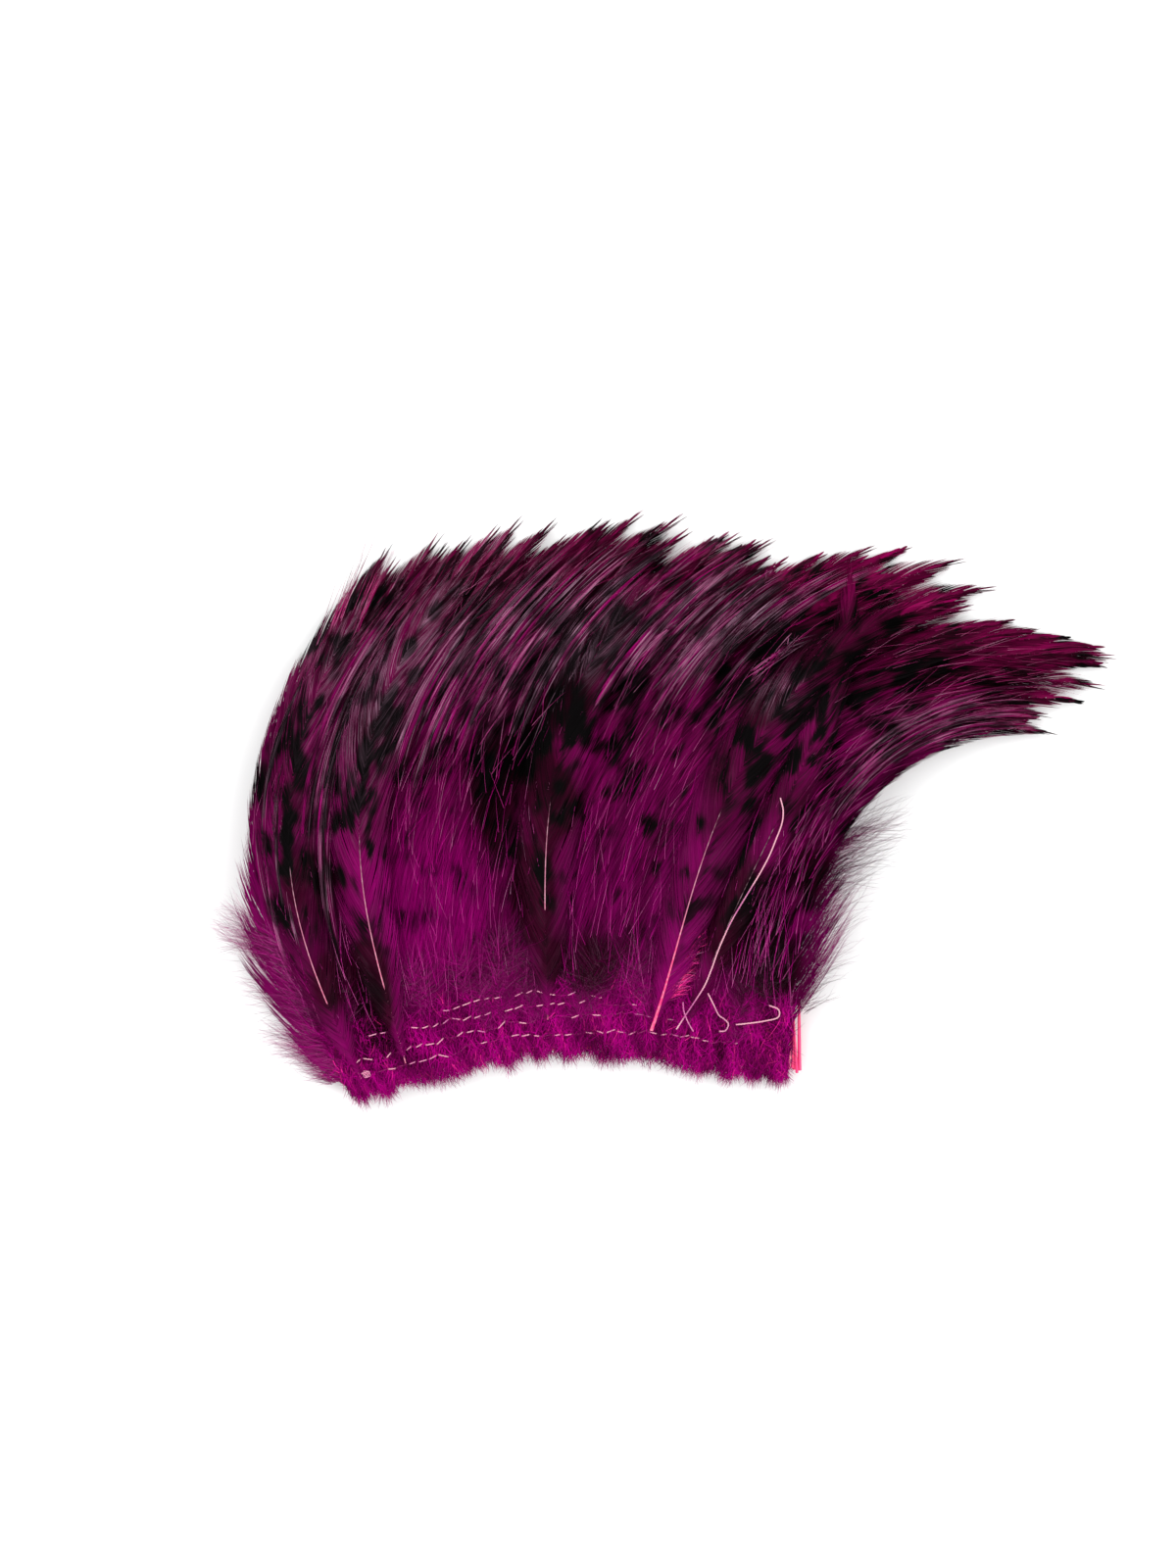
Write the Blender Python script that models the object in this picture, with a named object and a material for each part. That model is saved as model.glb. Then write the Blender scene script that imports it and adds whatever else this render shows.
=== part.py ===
"""A strip of dyed, barred rooster saddle feathers sewn side by side on thread.

The strip lies on its back on a surface. X runs along the stitched band, Y from the
band towards the feather tips, and Z up. The origin is at the middle of the band, on
the flat underside of the stitching.

Every shingled feather lies on a leaf of its own: a curved sheet that follows the sweep
of the feathers, with all leaves the same height apart at any one place. No two feathers
touch then, even where one leans across another. The cover feathers lie above the pile.
"""
import math
from typing import NamedTuple

import bmesh
import bpy
import numpy as np

MM = 0.001


class Guide(NamedTuple):
    """One line of the sweep, from a quill end in the band to a tip.

    Lengths are in millimetres and headings in degrees, counted from +X towards +Y.
    """

    across: float
    root_x: float
    root_y: float
    headings: tuple
    length: float


# The sweep of the feathers from the left end of the strip to the right end.
GUIDES = (
    Guide(0.00, -47.5, -14.4, (114.0, 108.0, 88.0, 63.0, 58.0), 126.0),
    Guide(0.15, -36.1, -11.6, (105.0, 98.0, 80.0, 57.0, 45.0), 127.0),
    Guide(0.40, -10.6, -5.1, (97.0, 93.0, 75.0, 52.0, 33.0), 127.0),
    Guide(0.60, 9.5, -5.1, (84.0, 79.0, 66.0, 43.0, 20.0), 131.0),
    Guide(0.80, 29.7, -8.9, (78.0, 72.0, 51.0, 19.0, -6.0), 137.0),
    Guide(1.00, 46.3, -10.2, (88.0, 82.0, 61.0, 25.0, -10.0), 110.0),
)

# Feathers
SHINGLE_COUNT = 41
FULL_LENGTH = (0, 3, 6, 8, 10, 13, 16, 18, 20, 22, 24, 27, 29, 30, 32, 33, 36, 39, 40)
CROWDING = 0.12
LEVEL_OUT = 0.05
VANE_HALF_WIDTH = 7.0 * MM
LAST_VANE_HALF_WIDTH = 5.0 * MM
NARROWER_FROM = 0.6
LEAF_GAP = 0.72 * MM
VANE_EDGE_HALF = 0.06 * MM
SHAFT_BASE_HALF = 0.17 * MM
SHAFT_TIP_HALF = 0.12 * MM
# How far the tips reach, as shares of the sweep's length at places across the strip
TIP_ACROSS = (0.0, 0.12, 0.33, 0.38, 0.46, 0.54, 0.57, 0.63, 0.73, 0.76, 0.80, 0.83, 0.86, 0.90, 1.0)
TIP_REACH = (1.0, 1.04, 1.05, 1.0, 1.0, 0.93, 1.0, 1.05, 1.0, 1.07, 1.05, 0.98, 1.04, 0.95, 1.0)

STATIONS = (0.0, 0.04, 0.11, 0.20, 0.30, 0.40, 0.49, 0.58, 0.67, 0.76, 0.85, 0.93, 1.0)
WIDTHS = (0.30, 0.50, 0.62, 0.76, 0.88, 0.97, 1.00, 1.00, 0.94, 0.82, 0.62, 0.36, 0.04)
LEFT_DOWN = (0.0, 0.10, 0.20, 0.30, 0.35, 0.10, 0.0, 0.0, 0.0, 0.0, 0.0, 0.0, 0.0)
RIGHT_DOWN = (0.0, 0.0, 0.05, 0.48, 0.58, 0.25, 0.0, 0.0, 0.0, 0.0, 0.0, 0.0, 0.0)

# Height of the pile: at the band, at the tips, and the swell between them
BAND_LEVEL = 2.8 * MM
TIP_LEVEL = 0.90 * MM
LEFT_SWELL = 9.0 * MM
RIGHT_SWELL = 5.0 * MM
SWELL_STEP_AT = 0.37
SWELL_STEP_WIDTH = 0.035

# Down that spreads past the two ends of the strip
LEFT_PLUME = 13.0 * MM
RIGHT_PLUME = 14.0 * MM

# Sewing thread
ROW_WIDTH = 0.80 * MM
ROW_HEIGHT = 0.45 * MM
CLEARANCE = 0.30 * MM
TAIL_THICKNESS = 0.40 * MM

# Bare quills at the right-hand end
QUILL_LENGTH = 15.0 * MM
QUILL_HALF = 0.55 * MM


class Cover(NamedTuple):
    """A feather on top of the shingle, whose shaft shows."""

    across: float
    root_along: float
    headings: tuple
    length: float
    layer: float
    half_width: float
    over_rows: bool = False


# Left pair, middle, the one with the bare quill, and the upright one at the right
COVERS = (
    Cover(0.035, 3.0, (113.0, 108.0, 92.0, 72.0, 62.0), 108.0, 1.0, 6.0),
    Cover(0.155, 4.0, (104.0, 101.0, 88.0, 66.0, 50.0), 112.0, 2.0, 6.5),
    Cover(0.455, 7.0, (91.0, 89.0, 82.0, 62.0, 40.0), 104.0, 1.0, 7.0),
    Cover(0.665, 6.0, (71.0, 73.0, 66.0, 46.0, 28.0), 110.0, 2.0, 7.0, True),
    Cover(0.740, 9.0, (72.0, 67.0, 63.0, 74.0, 90.0), 105.0, 1.0, 4.5),
)

# How many leaves the shingle stands above its middle, at the band and past it
PILE_AT_BAND = 2.5
PILE_PAST_BAND = 3.5


class Row(NamedTuple):
    """A row of stitching: where it runs across the strip, and how far up the band."""

    name: str
    start: float
    end: float
    along: tuple
    front: bool


ROWS = (
    Row("front_row_top", 0.25, 0.56, (13.4, 13.0, 12.4), True),
    Row("front_row_upper", 0.04, 0.63, (12.2, 10.2, 11.0), True),
    Row("front_row_main", 0.03, 0.72, (6.6, 7.0, 9.0), True),
    Row("front_row_lower", 0.08, 0.86, (4.0, 3.8, 6.5), True),
    Row("back_row_upper", 0.02, 0.98, (9.0, 9.0, 9.0), False),
    Row("back_row_main", 0.02, 0.98, (5.0, 5.0, 5.0), False),
    Row("back_row_lower", 0.02, 0.98, (2.6, 2.6, 2.6), False),
)
ROW_STATIONS = 15
ROW_SAMPLES = 113

# Loose thread, as points on the feathers seen from above, in millimetres
TAIL_ROUTE = (
    (22.3, 0.0), (24.3, 3.1), (26.4, 6.3), (28.4, 9.5), (29.8, 12.9), (31.1, 16.6),
    (32.5, 20.0), (34.2, 23.6), (36.1, 26.9), (38.2, 30.4), (40.3, 33.9), (42.2, 37.5),
    (43.6, 40.9), (44.9, 44.4), (45.2, 47.3), (44.6, 50.0),
)
HOOK_ROUTE = (
    (29.1, 7.8), (30.3, 5.4), (31.5, 3.0), (32.7, 2.1), (33.6, 1.0), (33.0, -0.4),
    (31.6, -0.6),
)
CATCH_ROUTE = (
    (35.2, 0.9), (38.0, 1.2), (41.4, 1.7), (44.3, 2.5), (44.4, 4.2), (42.4, 5.1),
)
TAIL_POINTS = 46
END_POINTS = 16
ROWS_REACH = 6.0 * MM

SWEEP_MARGIN = 0.25
SWEEP_ACROSS = 151
SWEEP_ALONG = 121
SWEEP_OVERRUN = 1.2


class Sweep:
    """The flow of the feathers: a place for each share across and along the strip."""

    def __init__(self) -> None:
        self.across = np.linspace(-SWEEP_MARGIN, 1.0 + SWEEP_MARGIN, SWEEP_ACROSS)
        self.along = np.linspace(0.0, SWEEP_OVERRUN, SWEEP_ALONG)
        knots = [guide.across for guide in GUIDES]
        self.length = self.blend(knots, [guide.length * MM for guide in GUIDES])
        root_x = self.blend(knots, [guide.root_x * MM for guide in GUIDES])
        root_y = self.blend(knots, [guide.root_y * MM for guide in GUIDES])
        self.root = np.stack((root_x, root_y), axis=1)
        table = np.array([guide.headings for guide in GUIDES])
        quarters = [self.blend(knots, table[:, column]) for column in range(5)]
        self.heading = np.array(
            [heading_along(column, self.along) for column in np.stack(quarters, axis=1)]
        )
        self.place = self.walk(self.heading, self.length)

    def blend(self, knots: list, values: list) -> np.ndarray:
        """Spread the guides' values over and past the strip, with rounded corners."""
        line = np.interp(self.across, knots, values)
        before = (values[1] - values[0]) / (knots[1] - knots[0])
        after = (values[-1] - values[-2]) / (knots[-1] - knots[-2])
        line += before * np.minimum(self.across, 0.0)
        line += after * np.maximum(self.across - 1.0, 0.0)
        reach = 9
        padded = np.pad(line, reach, mode="reflect", reflect_type="odd")
        window = np.hanning(2 * reach + 3)[1:-1]
        return np.convolve(padded, window / window.sum(), mode="valid")

    def walk(self, heading: np.ndarray, length: np.ndarray) -> np.ndarray:
        """Add up the steps along each line of the sweep."""
        step = (self.along[1] - self.along[0]) * length[:, None]
        half = (heading[:, 1:] + heading[:, :-1]) / 2.0
        moves = np.stack((np.cos(half) * step, np.sin(half) * step), axis=2)
        start = self.root[:, None, :]
        return np.concatenate((start, start + np.cumsum(moves, axis=1)), axis=1)

    def look_up(self, table: np.ndarray, across: np.ndarray, along: np.ndarray) -> np.ndarray:
        """Read a table of the sweep between its lines."""
        column = (across + SWEEP_MARGIN) / (self.across[1] - self.across[0])
        row = along / (self.along[1] - self.along[0])
        i = np.clip(column.astype(int), 0, SWEEP_ACROSS - 2)
        j = np.clip(row.astype(int), 0, SWEEP_ALONG - 2)
        a = column - i
        b = row - j
        if table.ndim == 3:
            a = a[..., None]
            b = b[..., None]
        low = table[i, j] * (1.0 - a) + table[i + 1, j] * a
        high = table[i, j + 1] * (1.0 - a) + table[i + 1, j + 1] * a
        return low * (1.0 - b) + high * b

    def find(self, points: np.ndarray, across: np.ndarray, along: np.ndarray) -> tuple:
        """Newton's search for the share across and along at points, from a first guess."""
        nudge = 0.004
        for _ in range(8):
            here = self.look_up(self.place, across, along)
            side = (self.look_up(self.place, across + nudge, along) - here) / nudge
            ahead = (self.look_up(self.place, across, along + nudge) - here) / nudge
            miss = points - here
            area = side[..., 0] * ahead[..., 1] - side[..., 1] * ahead[..., 0]
            across = across + (miss[..., 0] * ahead[..., 1] - miss[..., 1] * ahead[..., 0]) / area
            along = along + (side[..., 0] * miss[..., 1] - side[..., 1] * miss[..., 0]) / area
            across = np.clip(across, -SWEEP_MARGIN, 1.0 + SWEEP_MARGIN)
            along = np.clip(along, -0.05, SWEEP_OVERRUN)
        return across, along


def heading_along(quarters: np.ndarray, along: np.ndarray) -> np.ndarray:
    """A smooth heading in radians through five headings a quarter of the length apart."""
    curve = np.polyfit(np.linspace(0.0, 1.0, 5), np.radians(quarters), 3)
    return np.polyval(curve, np.minimum(along, 1.05))


def crowd(share: np.ndarray) -> np.ndarray:
    """Set the feathers closer together at the left end than at the right end."""
    return share - CROWDING * np.sin(math.pi * share)


def leaf_at(across: np.ndarray) -> np.ndarray:
    """The leaf whose feather runs through a place across the strip."""
    share = np.linspace(0.0, 1.0, 201)
    past = across - np.clip(across, 0.0, 1.0)
    run_out = LEVEL_OUT * np.tanh(past / LEVEL_OUT)
    return (np.interp(across, crowd(share), share) + run_out) * (SHINGLE_COUNT - 1)


def swell(across: np.ndarray, along: np.ndarray) -> np.ndarray:
    """Height of the middle of the pile above the surface it lies on."""
    share = np.clip(along, 0.0, 1.0)
    ease = share * share * (3.0 - 2.0 * share)
    step = 1.0 / (1.0 + np.exp((across - SWELL_STEP_AT) / SWELL_STEP_WIDTH))
    height = RIGHT_SWELL + (LEFT_SWELL - RIGHT_SWELL) * step
    hump = np.sin(math.pi * share) ** 1.3
    return BAND_LEVEL + (TIP_LEVEL - BAND_LEVEL) * ease + height * hump


class Feather:
    """One feather: its centre line, its widths and the leaf that it lies on."""

    def __init__(self, name: str, across: float, half_width: float) -> None:
        self.name = name
        self.across = across
        self.half_width = half_width
        self.leaf = float(leaf_at(np.array(across)))
        self.layer = 0.0
        self.over_rows = False
        self.line = np.zeros((0, 2))
        self.left = np.zeros(0)
        self.right = np.zeros(0)

    def lay(self, start: np.ndarray, headings: np.ndarray, length: float) -> None:
        """Run the centre line from its start through the stations."""
        fine = np.linspace(0.0, 1.0, 101)
        turn = heading_along(headings, fine)
        half = (turn[1:] + turn[:-1]) / 2.0
        moves = np.stack((np.cos(half), np.sin(half)), axis=1) * (length / 100.0)
        path = np.concatenate(([start], start + np.cumsum(moves, axis=0)))
        self.line = np.stack([np.interp(STATIONS, fine, path[:, axis]) for axis in (0, 1)], axis=1)
        facing = np.interp(STATIONS, fine, turn)
        self.side = np.stack((-np.sin(facing), np.cos(facing)), axis=1)
        widths = np.array(WIDTHS) * self.half_width
        self.left = widths.copy()
        self.right = widths.copy()

    def height(self, sweep: Sweep, points: np.ndarray) -> np.ndarray:
        """Height of this feather's leaf at points that may lie anywhere near it."""
        count = points.shape[0]
        near = np.linalg.norm(points[:, None, :] - self.line[None], axis=2).argmin(axis=1)
        along = np.array(STATIONS)[near] * 0.95
        across, along = sweep.find(points, np.full(count, self.across), along)
        if self.layer:
            pile = np.interp(along, (0.05, 0.25), (PILE_AT_BAND, PILE_PAST_BAND))
            return swell(across, along) + LEAF_GAP * (pile + self.layer)
        return swell(across, along) + LEAF_GAP * (leaf_at(across) - self.leaf)


def make_feathers(sweep: Sweep) -> list:
    """Lay out the shingle, each feather on its leaf, and the cover feathers above it."""
    feathers = []
    chance = np.random.default_rng(4)
    for index in range(SHINGLE_COUNT):
        across = float(crowd(np.array(index / (SHINGLE_COUNT - 1))))
        width = np.interp(across, (NARROWER_FROM, 1.0), (VANE_HALF_WIDTH, LAST_VANE_HALF_WIDTH))
        feather = Feather(f"feather_{index + 1:02d}", across, width)
        lean = chance.uniform(-2.5, 1.5)
        shorter = chance.uniform(0.90, 0.99)
        reach = float(np.interp(across, TIP_ACROSS, TIP_REACH))
        if index not in FULL_LENGTH:
            reach *= shorter
        here = np.array([across])
        quarters = [
            float(np.degrees(sweep.look_up(sweep.heading, here, np.array([share * reach]))[0]))
            for share in (0.0, 0.25, 0.5, 0.75, 1.0)
        ]
        headings = np.array(quarters) + lean * np.array((0.0, 0.2, 0.5, 0.8, 1.0))
        length = float(np.interp(across, sweep.across, sweep.length))
        start = sweep.look_up(sweep.place, here, np.array([0.0]))[0]
        feather.lay(start, headings, length * reach)
        feathers.append(feather)
    spread_down(feathers)
    for number, cover in enumerate(COVERS, start=1):
        feather = Feather(f"cover_feather_{number}", cover.across, cover.half_width * MM)
        length = float(np.interp(cover.across, sweep.across, sweep.length))
        begin = np.array([cover.root_along * MM / length])
        start = sweep.look_up(sweep.place, np.array([cover.across]), begin)[0]
        feather.lay(start, np.array(cover.headings), cover.length * MM)
        feather.left[:3] = (0.9 * MM, 1.0 * MM, 3.2 * MM)
        feather.right[:3] = feather.left[:3]
        feather.layer = cover.layer
        feather.over_rows = cover.over_rows
        feathers.append(feather)
    return feathers


def spread_down(feathers: list) -> None:
    """Widen the downy bases at the two ends of the strip, where the down spreads out."""
    for feather, share in ((feathers[0], 1.0), (feathers[1], 0.6)):
        feather.left += np.array(LEFT_DOWN) * LEFT_PLUME * share
    for feather, share in ((feathers[-1], 1.0), (feathers[-2], 0.6)):
        feather.right += np.array(RIGHT_DOWN) * RIGHT_PLUME * share
    feathers[0].left[6:] *= 0.7
    feathers[-1].right[6:] *= 0.6
    feathers[-1].right[:3] = 1.2 * MM


def new_object(name: str, mesh: bpy.types.Mesh, colour: tuple, roughness: float) -> None:
    """Put a mesh in the scene under its node's name, with its own material."""
    material = bpy.data.materials.new(name)
    material.use_nodes = True
    shader = material.node_tree.nodes["Principled BSDF"]
    shader.inputs["Base Color"].default_value = (*colour, 1.0)
    shader.inputs["Roughness"].default_value = roughness
    shader.inputs["Metallic"].default_value = 0.0
    mesh.materials.append(material)
    thing = bpy.data.objects.new(name, mesh)
    bpy.context.scene.collection.objects.link(thing)


def split(a: bmesh.types.BMVert, b: bmesh.types.BMVert, c: bmesh.types.BMVert,
          d: bmesh.types.BMVert) -> tuple:
    """Split a panel on its shorter diagonal seen from above, alike on top and underneath."""
    if (a.co.xy - c.co.xy).length < (b.co.xy - d.co.xy).length:
        return (a, b, c), (a, c, d)
    return (a, b, d), (b, c, d)


def loft(name: str, rings: np.ndarray, colour: tuple, roughness: float, smooth: bool) -> None:
    """Skin a row of closed rings into one closed body with flat ends."""
    form = bmesh.new()
    rows = [[form.verts.new(point) for point in ring] for ring in rings]
    sides = len(rows[0])
    for low, high in zip(rows, rows[1:]):
        for k in range(sides):
            after = (k + 1) % sides
            for corners in split(low[k], low[after], high[after], high[k]):
                form.faces.new(corners)
    ends = [form.faces.new(list(reversed(rows[0]))), form.faces.new(rows[-1])]
    bmesh.ops.triangulate(form, faces=ends)
    if form.calc_volume(signed=True) < 0.0:
        bmesh.ops.reverse_faces(form, faces=form.faces[:])
    mesh = bpy.data.meshes.new(name)
    form.to_mesh(mesh)
    form.free()
    if smooth:
        mesh.shade_smooth()
        mesh.set_sharp_from_angle(angle=math.radians(50.0))
    new_object(name, mesh, colour, roughness)


def build_feather(feather: Feather, sweep: Sweep) -> None:
    """Make one feather's solid: a thin vane with the shaft as a ridge on both faces."""
    shaft = np.interp(STATIONS, (0.0, 1.0), (SHAFT_BASE_HALF, SHAFT_TIP_HALF))
    middle = np.zeros(len(STATIONS))
    edge = np.full(len(STATIONS), VANE_EDGE_HALF)
    offsets = np.stack(
        (feather.left, middle, -feather.right, -feather.right, middle, feather.left), axis=1
    )
    lifts = np.stack((edge, shaft, edge, -edge, -shaft, -edge), axis=1)
    flat = feather.line[:, None, :] + offsets[..., None] * feather.side[:, None, :]
    level = feather.height(sweep, flat.reshape(-1, 2)).reshape(offsets.shape)
    rings = np.concatenate((flat, (level + lifts)[..., None]), axis=2)
    tone = 0.75 + 0.5 * ((feather.leaf * 0.618) % 1.0)
    colour = (0.19 * tone, 0.004 * tone, 0.16 * tone)
    loft(feather.name, rings, colour, 0.6, True)


def stack_range(feathers: list, sweep: Sweep, points: np.ndarray) -> tuple:
    """Lowest and highest feather surface at each point seen from above."""
    low = np.full(len(points), np.inf)
    high = np.full(len(points), -np.inf)
    fine = np.linspace(0.0, 1.0, 121)
    for feather in feathers:
        line = np.stack([np.interp(fine, STATIONS, feather.line[:, axis]) for axis in (0, 1)], axis=1)
        wide = np.interp(fine, STATIONS, np.maximum(feather.left, feather.right))
        gap = np.linalg.norm(points[:, None, :] - line[None], axis=2)
        near = gap.argmin(axis=1)
        inside = gap[np.arange(len(points)), near] < wide[near] + 0.8 * MM
        if not inside.any():
            continue
        level = feather.height(sweep, points[inside])
        low[inside] = np.minimum(low[inside], level - SHAFT_BASE_HALF)
        high[inside] = np.maximum(high[inside], level + SHAFT_BASE_HALF)
    return low, high


def ease_over(heights: np.ndarray, reach: int) -> np.ndarray:
    """Let a thread pass over what lies under it in long low humps, never through it."""
    padded = np.pad(heights, reach, mode="edge")
    highest = np.array([padded[k:k + 2 * reach + 1].max() for k in range(len(heights))])
    window = np.hanning(2 * reach + 3)[1:-1]
    return np.convolve(np.pad(highest, reach, mode="edge"), window / window.sum(), mode="valid")


def build_rows(feathers: list, sweep: Sweep) -> None:
    """Make the rows of stitching on both faces of the band."""
    under = [feather for feather in feathers if not feather.over_rows]
    for row in ROWS:
        across = np.linspace(row.start, row.end, ROW_SAMPLES)
        rise = np.interp(across, (row.start, (row.start + row.end) / 2.0, row.end), row.along)
        along = rise * MM / np.interp(across, sweep.across, sweep.length)
        line = sweep.look_up(sweep.place, across, along)
        run = np.gradient(line, axis=0)
        run /= np.linalg.norm(run, axis=1)[:, None]
        side = np.stack((-run[:, 1], run[:, 0]), axis=1) * ROW_WIDTH / 2.0
        if row.front:
            edges = np.concatenate((line, line + side, line - side))
            top = stack_range(under, sweep, edges)[1].reshape(3, -1).max(axis=0)
            bottom = ease_over(top, 6) + CLEARANCE
        else:
            bottom = np.zeros(ROW_SAMPLES)
        every = (ROW_SAMPLES - 1) // (ROW_STATIONS - 1)
        line, side, bottom = line[::every], side[::every], bottom[::every]
        rings = np.stack(
            [np.column_stack((line - side, bottom)), np.column_stack((line + side, bottom)),
             np.column_stack((line + side, bottom + ROW_HEIGHT)),
             np.column_stack((line - side, bottom + ROW_HEIGHT))],
            axis=1,
        )
        loft(row.name, rings, (0.55, 0.23, 0.36), 0.7, False)


def smooth_route(route: tuple, count: int) -> np.ndarray:
    """Points at equal steps on a smooth curve through a route's own points."""
    knots = np.array(route) * MM
    ends = np.concatenate(([2 * knots[0] - knots[1]], knots, [2 * knots[-1] - knots[-2]]))
    fine = []
    for k in range(1, len(ends) - 2):
        for share in np.linspace(0.0, 1.0, 20, endpoint=False):
            fine.append(
                0.5 * (2 * ends[k] + (ends[k + 1] - ends[k - 1]) * share
                       + (2 * ends[k - 1] - 5 * ends[k] + 4 * ends[k + 1] - ends[k + 2]) * share ** 2
                       + (3 * ends[k] - ends[k - 1] - 3 * ends[k + 1] + ends[k + 2]) * share ** 3)
            )
    path = np.array(fine + [knots[-1]])
    travel = np.concatenate(([0.0], np.cumsum(np.linalg.norm(np.diff(path, axis=0), axis=1))))
    steps = np.linspace(0.0, travel[-1], count)
    return np.stack([np.interp(steps, travel, path[:, axis]) for axis in (0, 1)], axis=1)


def build_thread(name: str, route: tuple, count: int, feathers: list, sweep: Sweep) -> None:
    """Lay a loose thread along its route as a round tube, over the rows and feathers."""
    flat = smooth_route(route, count)
    top = stack_range(feathers, sweep, flat)[1]
    floor = np.where(np.isfinite(top), top, BAND_LEVEL)
    over_rows = ROW_HEIGHT + CLEARANCE
    past_rows = np.interp(flat[:, 1], (ROWS_REACH, ROWS_REACH + 5.0 * MM), (over_rows, 0.0))
    level = ease_over(floor, 3) + CLEARANCE + past_rows + TAIL_THICKNESS / 2.0
    curve = bpy.data.curves.new(name, "CURVE")
    curve.dimensions = "3D"
    curve.bevel_depth = TAIL_THICKNESS / 2.0
    curve.bevel_resolution = 2
    curve.use_fill_caps = True
    spline = curve.splines.new("POLY")
    spline.points.add(count - 1)
    for point, place, height in zip(spline.points, flat, level):
        point.co = (place[0], place[1], height, 1.0)
    tube = bpy.data.objects.new(f"{name}_curve", curve)
    bpy.context.scene.collection.objects.link(tube)
    bpy.context.view_layer.update()
    solid = bpy.data.meshes.new_from_object(tube.evaluated_get(bpy.context.evaluated_depsgraph_get()))
    bpy.data.objects.remove(tube)
    form = bmesh.new()
    form.from_mesh(solid)
    bmesh.ops.remove_doubles(form, verts=form.verts[:], dist=0.01 * MM)
    bmesh.ops.recalc_face_normals(form, faces=form.faces[:])
    form.to_mesh(solid)
    form.free()
    new_object(name, solid, (0.60, 0.28, 0.40), 0.7)


def build_quills(feathers: list) -> None:
    """Make the bare quills that show at the right-hand cut end of the band."""
    last = feathers[SHINGLE_COUNT - 1]
    clear = last.right[0] + QUILL_HALF + CLEARANCE
    for number, (shift, lean) in enumerate(((0.0, 92.0), (1.5, 90.0)), start=1):
        start = last.line[0] + np.array((clear + shift * MM, 1.0 * MM))
        heading = math.radians(lean)
        steps = np.linspace(0.0, QUILL_LENGTH, 5)
        line = start + steps[:, None] * np.array((math.cos(heading), math.sin(heading)))
        level = CLEARANCE + QUILL_HALF + 0.9 * MM * number
        girth = np.interp(steps, (0.0, QUILL_LENGTH), (1.0, 0.7)) * QUILL_HALF
        angles = np.linspace(0.0, 2.0 * math.pi, 8, endpoint=False)
        rings = np.stack(
            [np.stack((line[:, 0] + girth * math.cos(angle), line[:, 1],
                       level + girth * math.sin(angle)), axis=1) for angle in angles],
            axis=1,
        )
        loft(f"bare_quill_{number}", rings, (0.9, 0.06, 0.25), 0.35, True)


def build() -> None:
    """Build the whole strip."""
    for thing in list(bpy.data.objects):
        bpy.data.objects.remove(thing)
    sweep = Sweep()
    feathers = make_feathers(sweep)
    for feather in feathers:
        build_feather(feather, sweep)
    build_rows(feathers, sweep)
    build_quills(feathers)
    build_thread("loose_thread", TAIL_ROUTE, TAIL_POINTS, feathers, sweep)
    build_thread("thread_end_hook", HOOK_ROUTE, END_POINTS, feathers, sweep)
    build_thread("thread_end_catch", CATCH_ROUTE, END_POINTS, feathers, sweep)


build()
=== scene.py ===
"""The looks of a strip of dyed, barred saddle feathers sewn side by side on thread.

Every feather is a shaft with two vanes of separate barbs, laid on the same curved leaf
as its solid. Down, stitching, loose thread ends and bare quills are pieces of their own.
"""
import logging
import math
from dataclasses import dataclass, field
from enum import Enum
from typing import NamedTuple

import bpy
import numpy as np
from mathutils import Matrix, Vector


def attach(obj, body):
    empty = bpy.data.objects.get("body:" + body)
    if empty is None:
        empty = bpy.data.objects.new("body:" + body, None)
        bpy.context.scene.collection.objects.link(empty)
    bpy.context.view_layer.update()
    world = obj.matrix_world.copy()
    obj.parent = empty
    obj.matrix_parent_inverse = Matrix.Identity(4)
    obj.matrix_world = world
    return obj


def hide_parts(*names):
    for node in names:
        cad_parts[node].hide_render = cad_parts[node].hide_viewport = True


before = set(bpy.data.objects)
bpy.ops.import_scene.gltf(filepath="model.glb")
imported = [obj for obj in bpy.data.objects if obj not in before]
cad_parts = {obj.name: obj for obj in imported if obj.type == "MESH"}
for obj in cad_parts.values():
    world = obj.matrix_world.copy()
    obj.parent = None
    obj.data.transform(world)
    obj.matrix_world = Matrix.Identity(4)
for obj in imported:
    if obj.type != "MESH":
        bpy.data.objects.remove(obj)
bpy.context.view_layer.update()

MM = 0.001
THREAD_SIDES = 8
THREAD_TWIST = 1.3 * MM
THREAD_LOBE = 0.24
LOG = logging.getLogger("feather_strip")

Array = np.ndarray
Chance = np.random.Generator
Material = bpy.types.Material
Piece = bpy.types.Object
Socket = bpy.types.NodeSocket


class Guide(NamedTuple):
    """One line of the sweep, in millimetres and degrees from +X towards +Y."""

    share: float
    root_x: float
    root_y: float
    headings: tuple
    length: float


# The same lines that the solids follow, with headings at each quarter of the length
GUIDES = (
    Guide(0.00, -47.5, -14.4, (114.0, 108.0, 88.0, 63.0, 58.0), 126.0),
    Guide(0.15, -36.1, -11.6, (105.0, 98.0, 80.0, 57.0, 45.0), 127.0),
    Guide(0.40, -10.6, -5.1, (97.0, 93.0, 75.0, 52.0, 33.0), 127.0),
    Guide(0.60, 9.5, -5.1, (84.0, 79.0, 66.0, 43.0, 20.0), 131.0),
    Guide(0.80, 29.7, -8.9, (78.0, 72.0, 51.0, 19.0, -6.0), 137.0),
    Guide(1.00, 46.3, -10.2, (88.0, 82.0, 61.0, 25.0, -10.0), 110.0),
)
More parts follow.
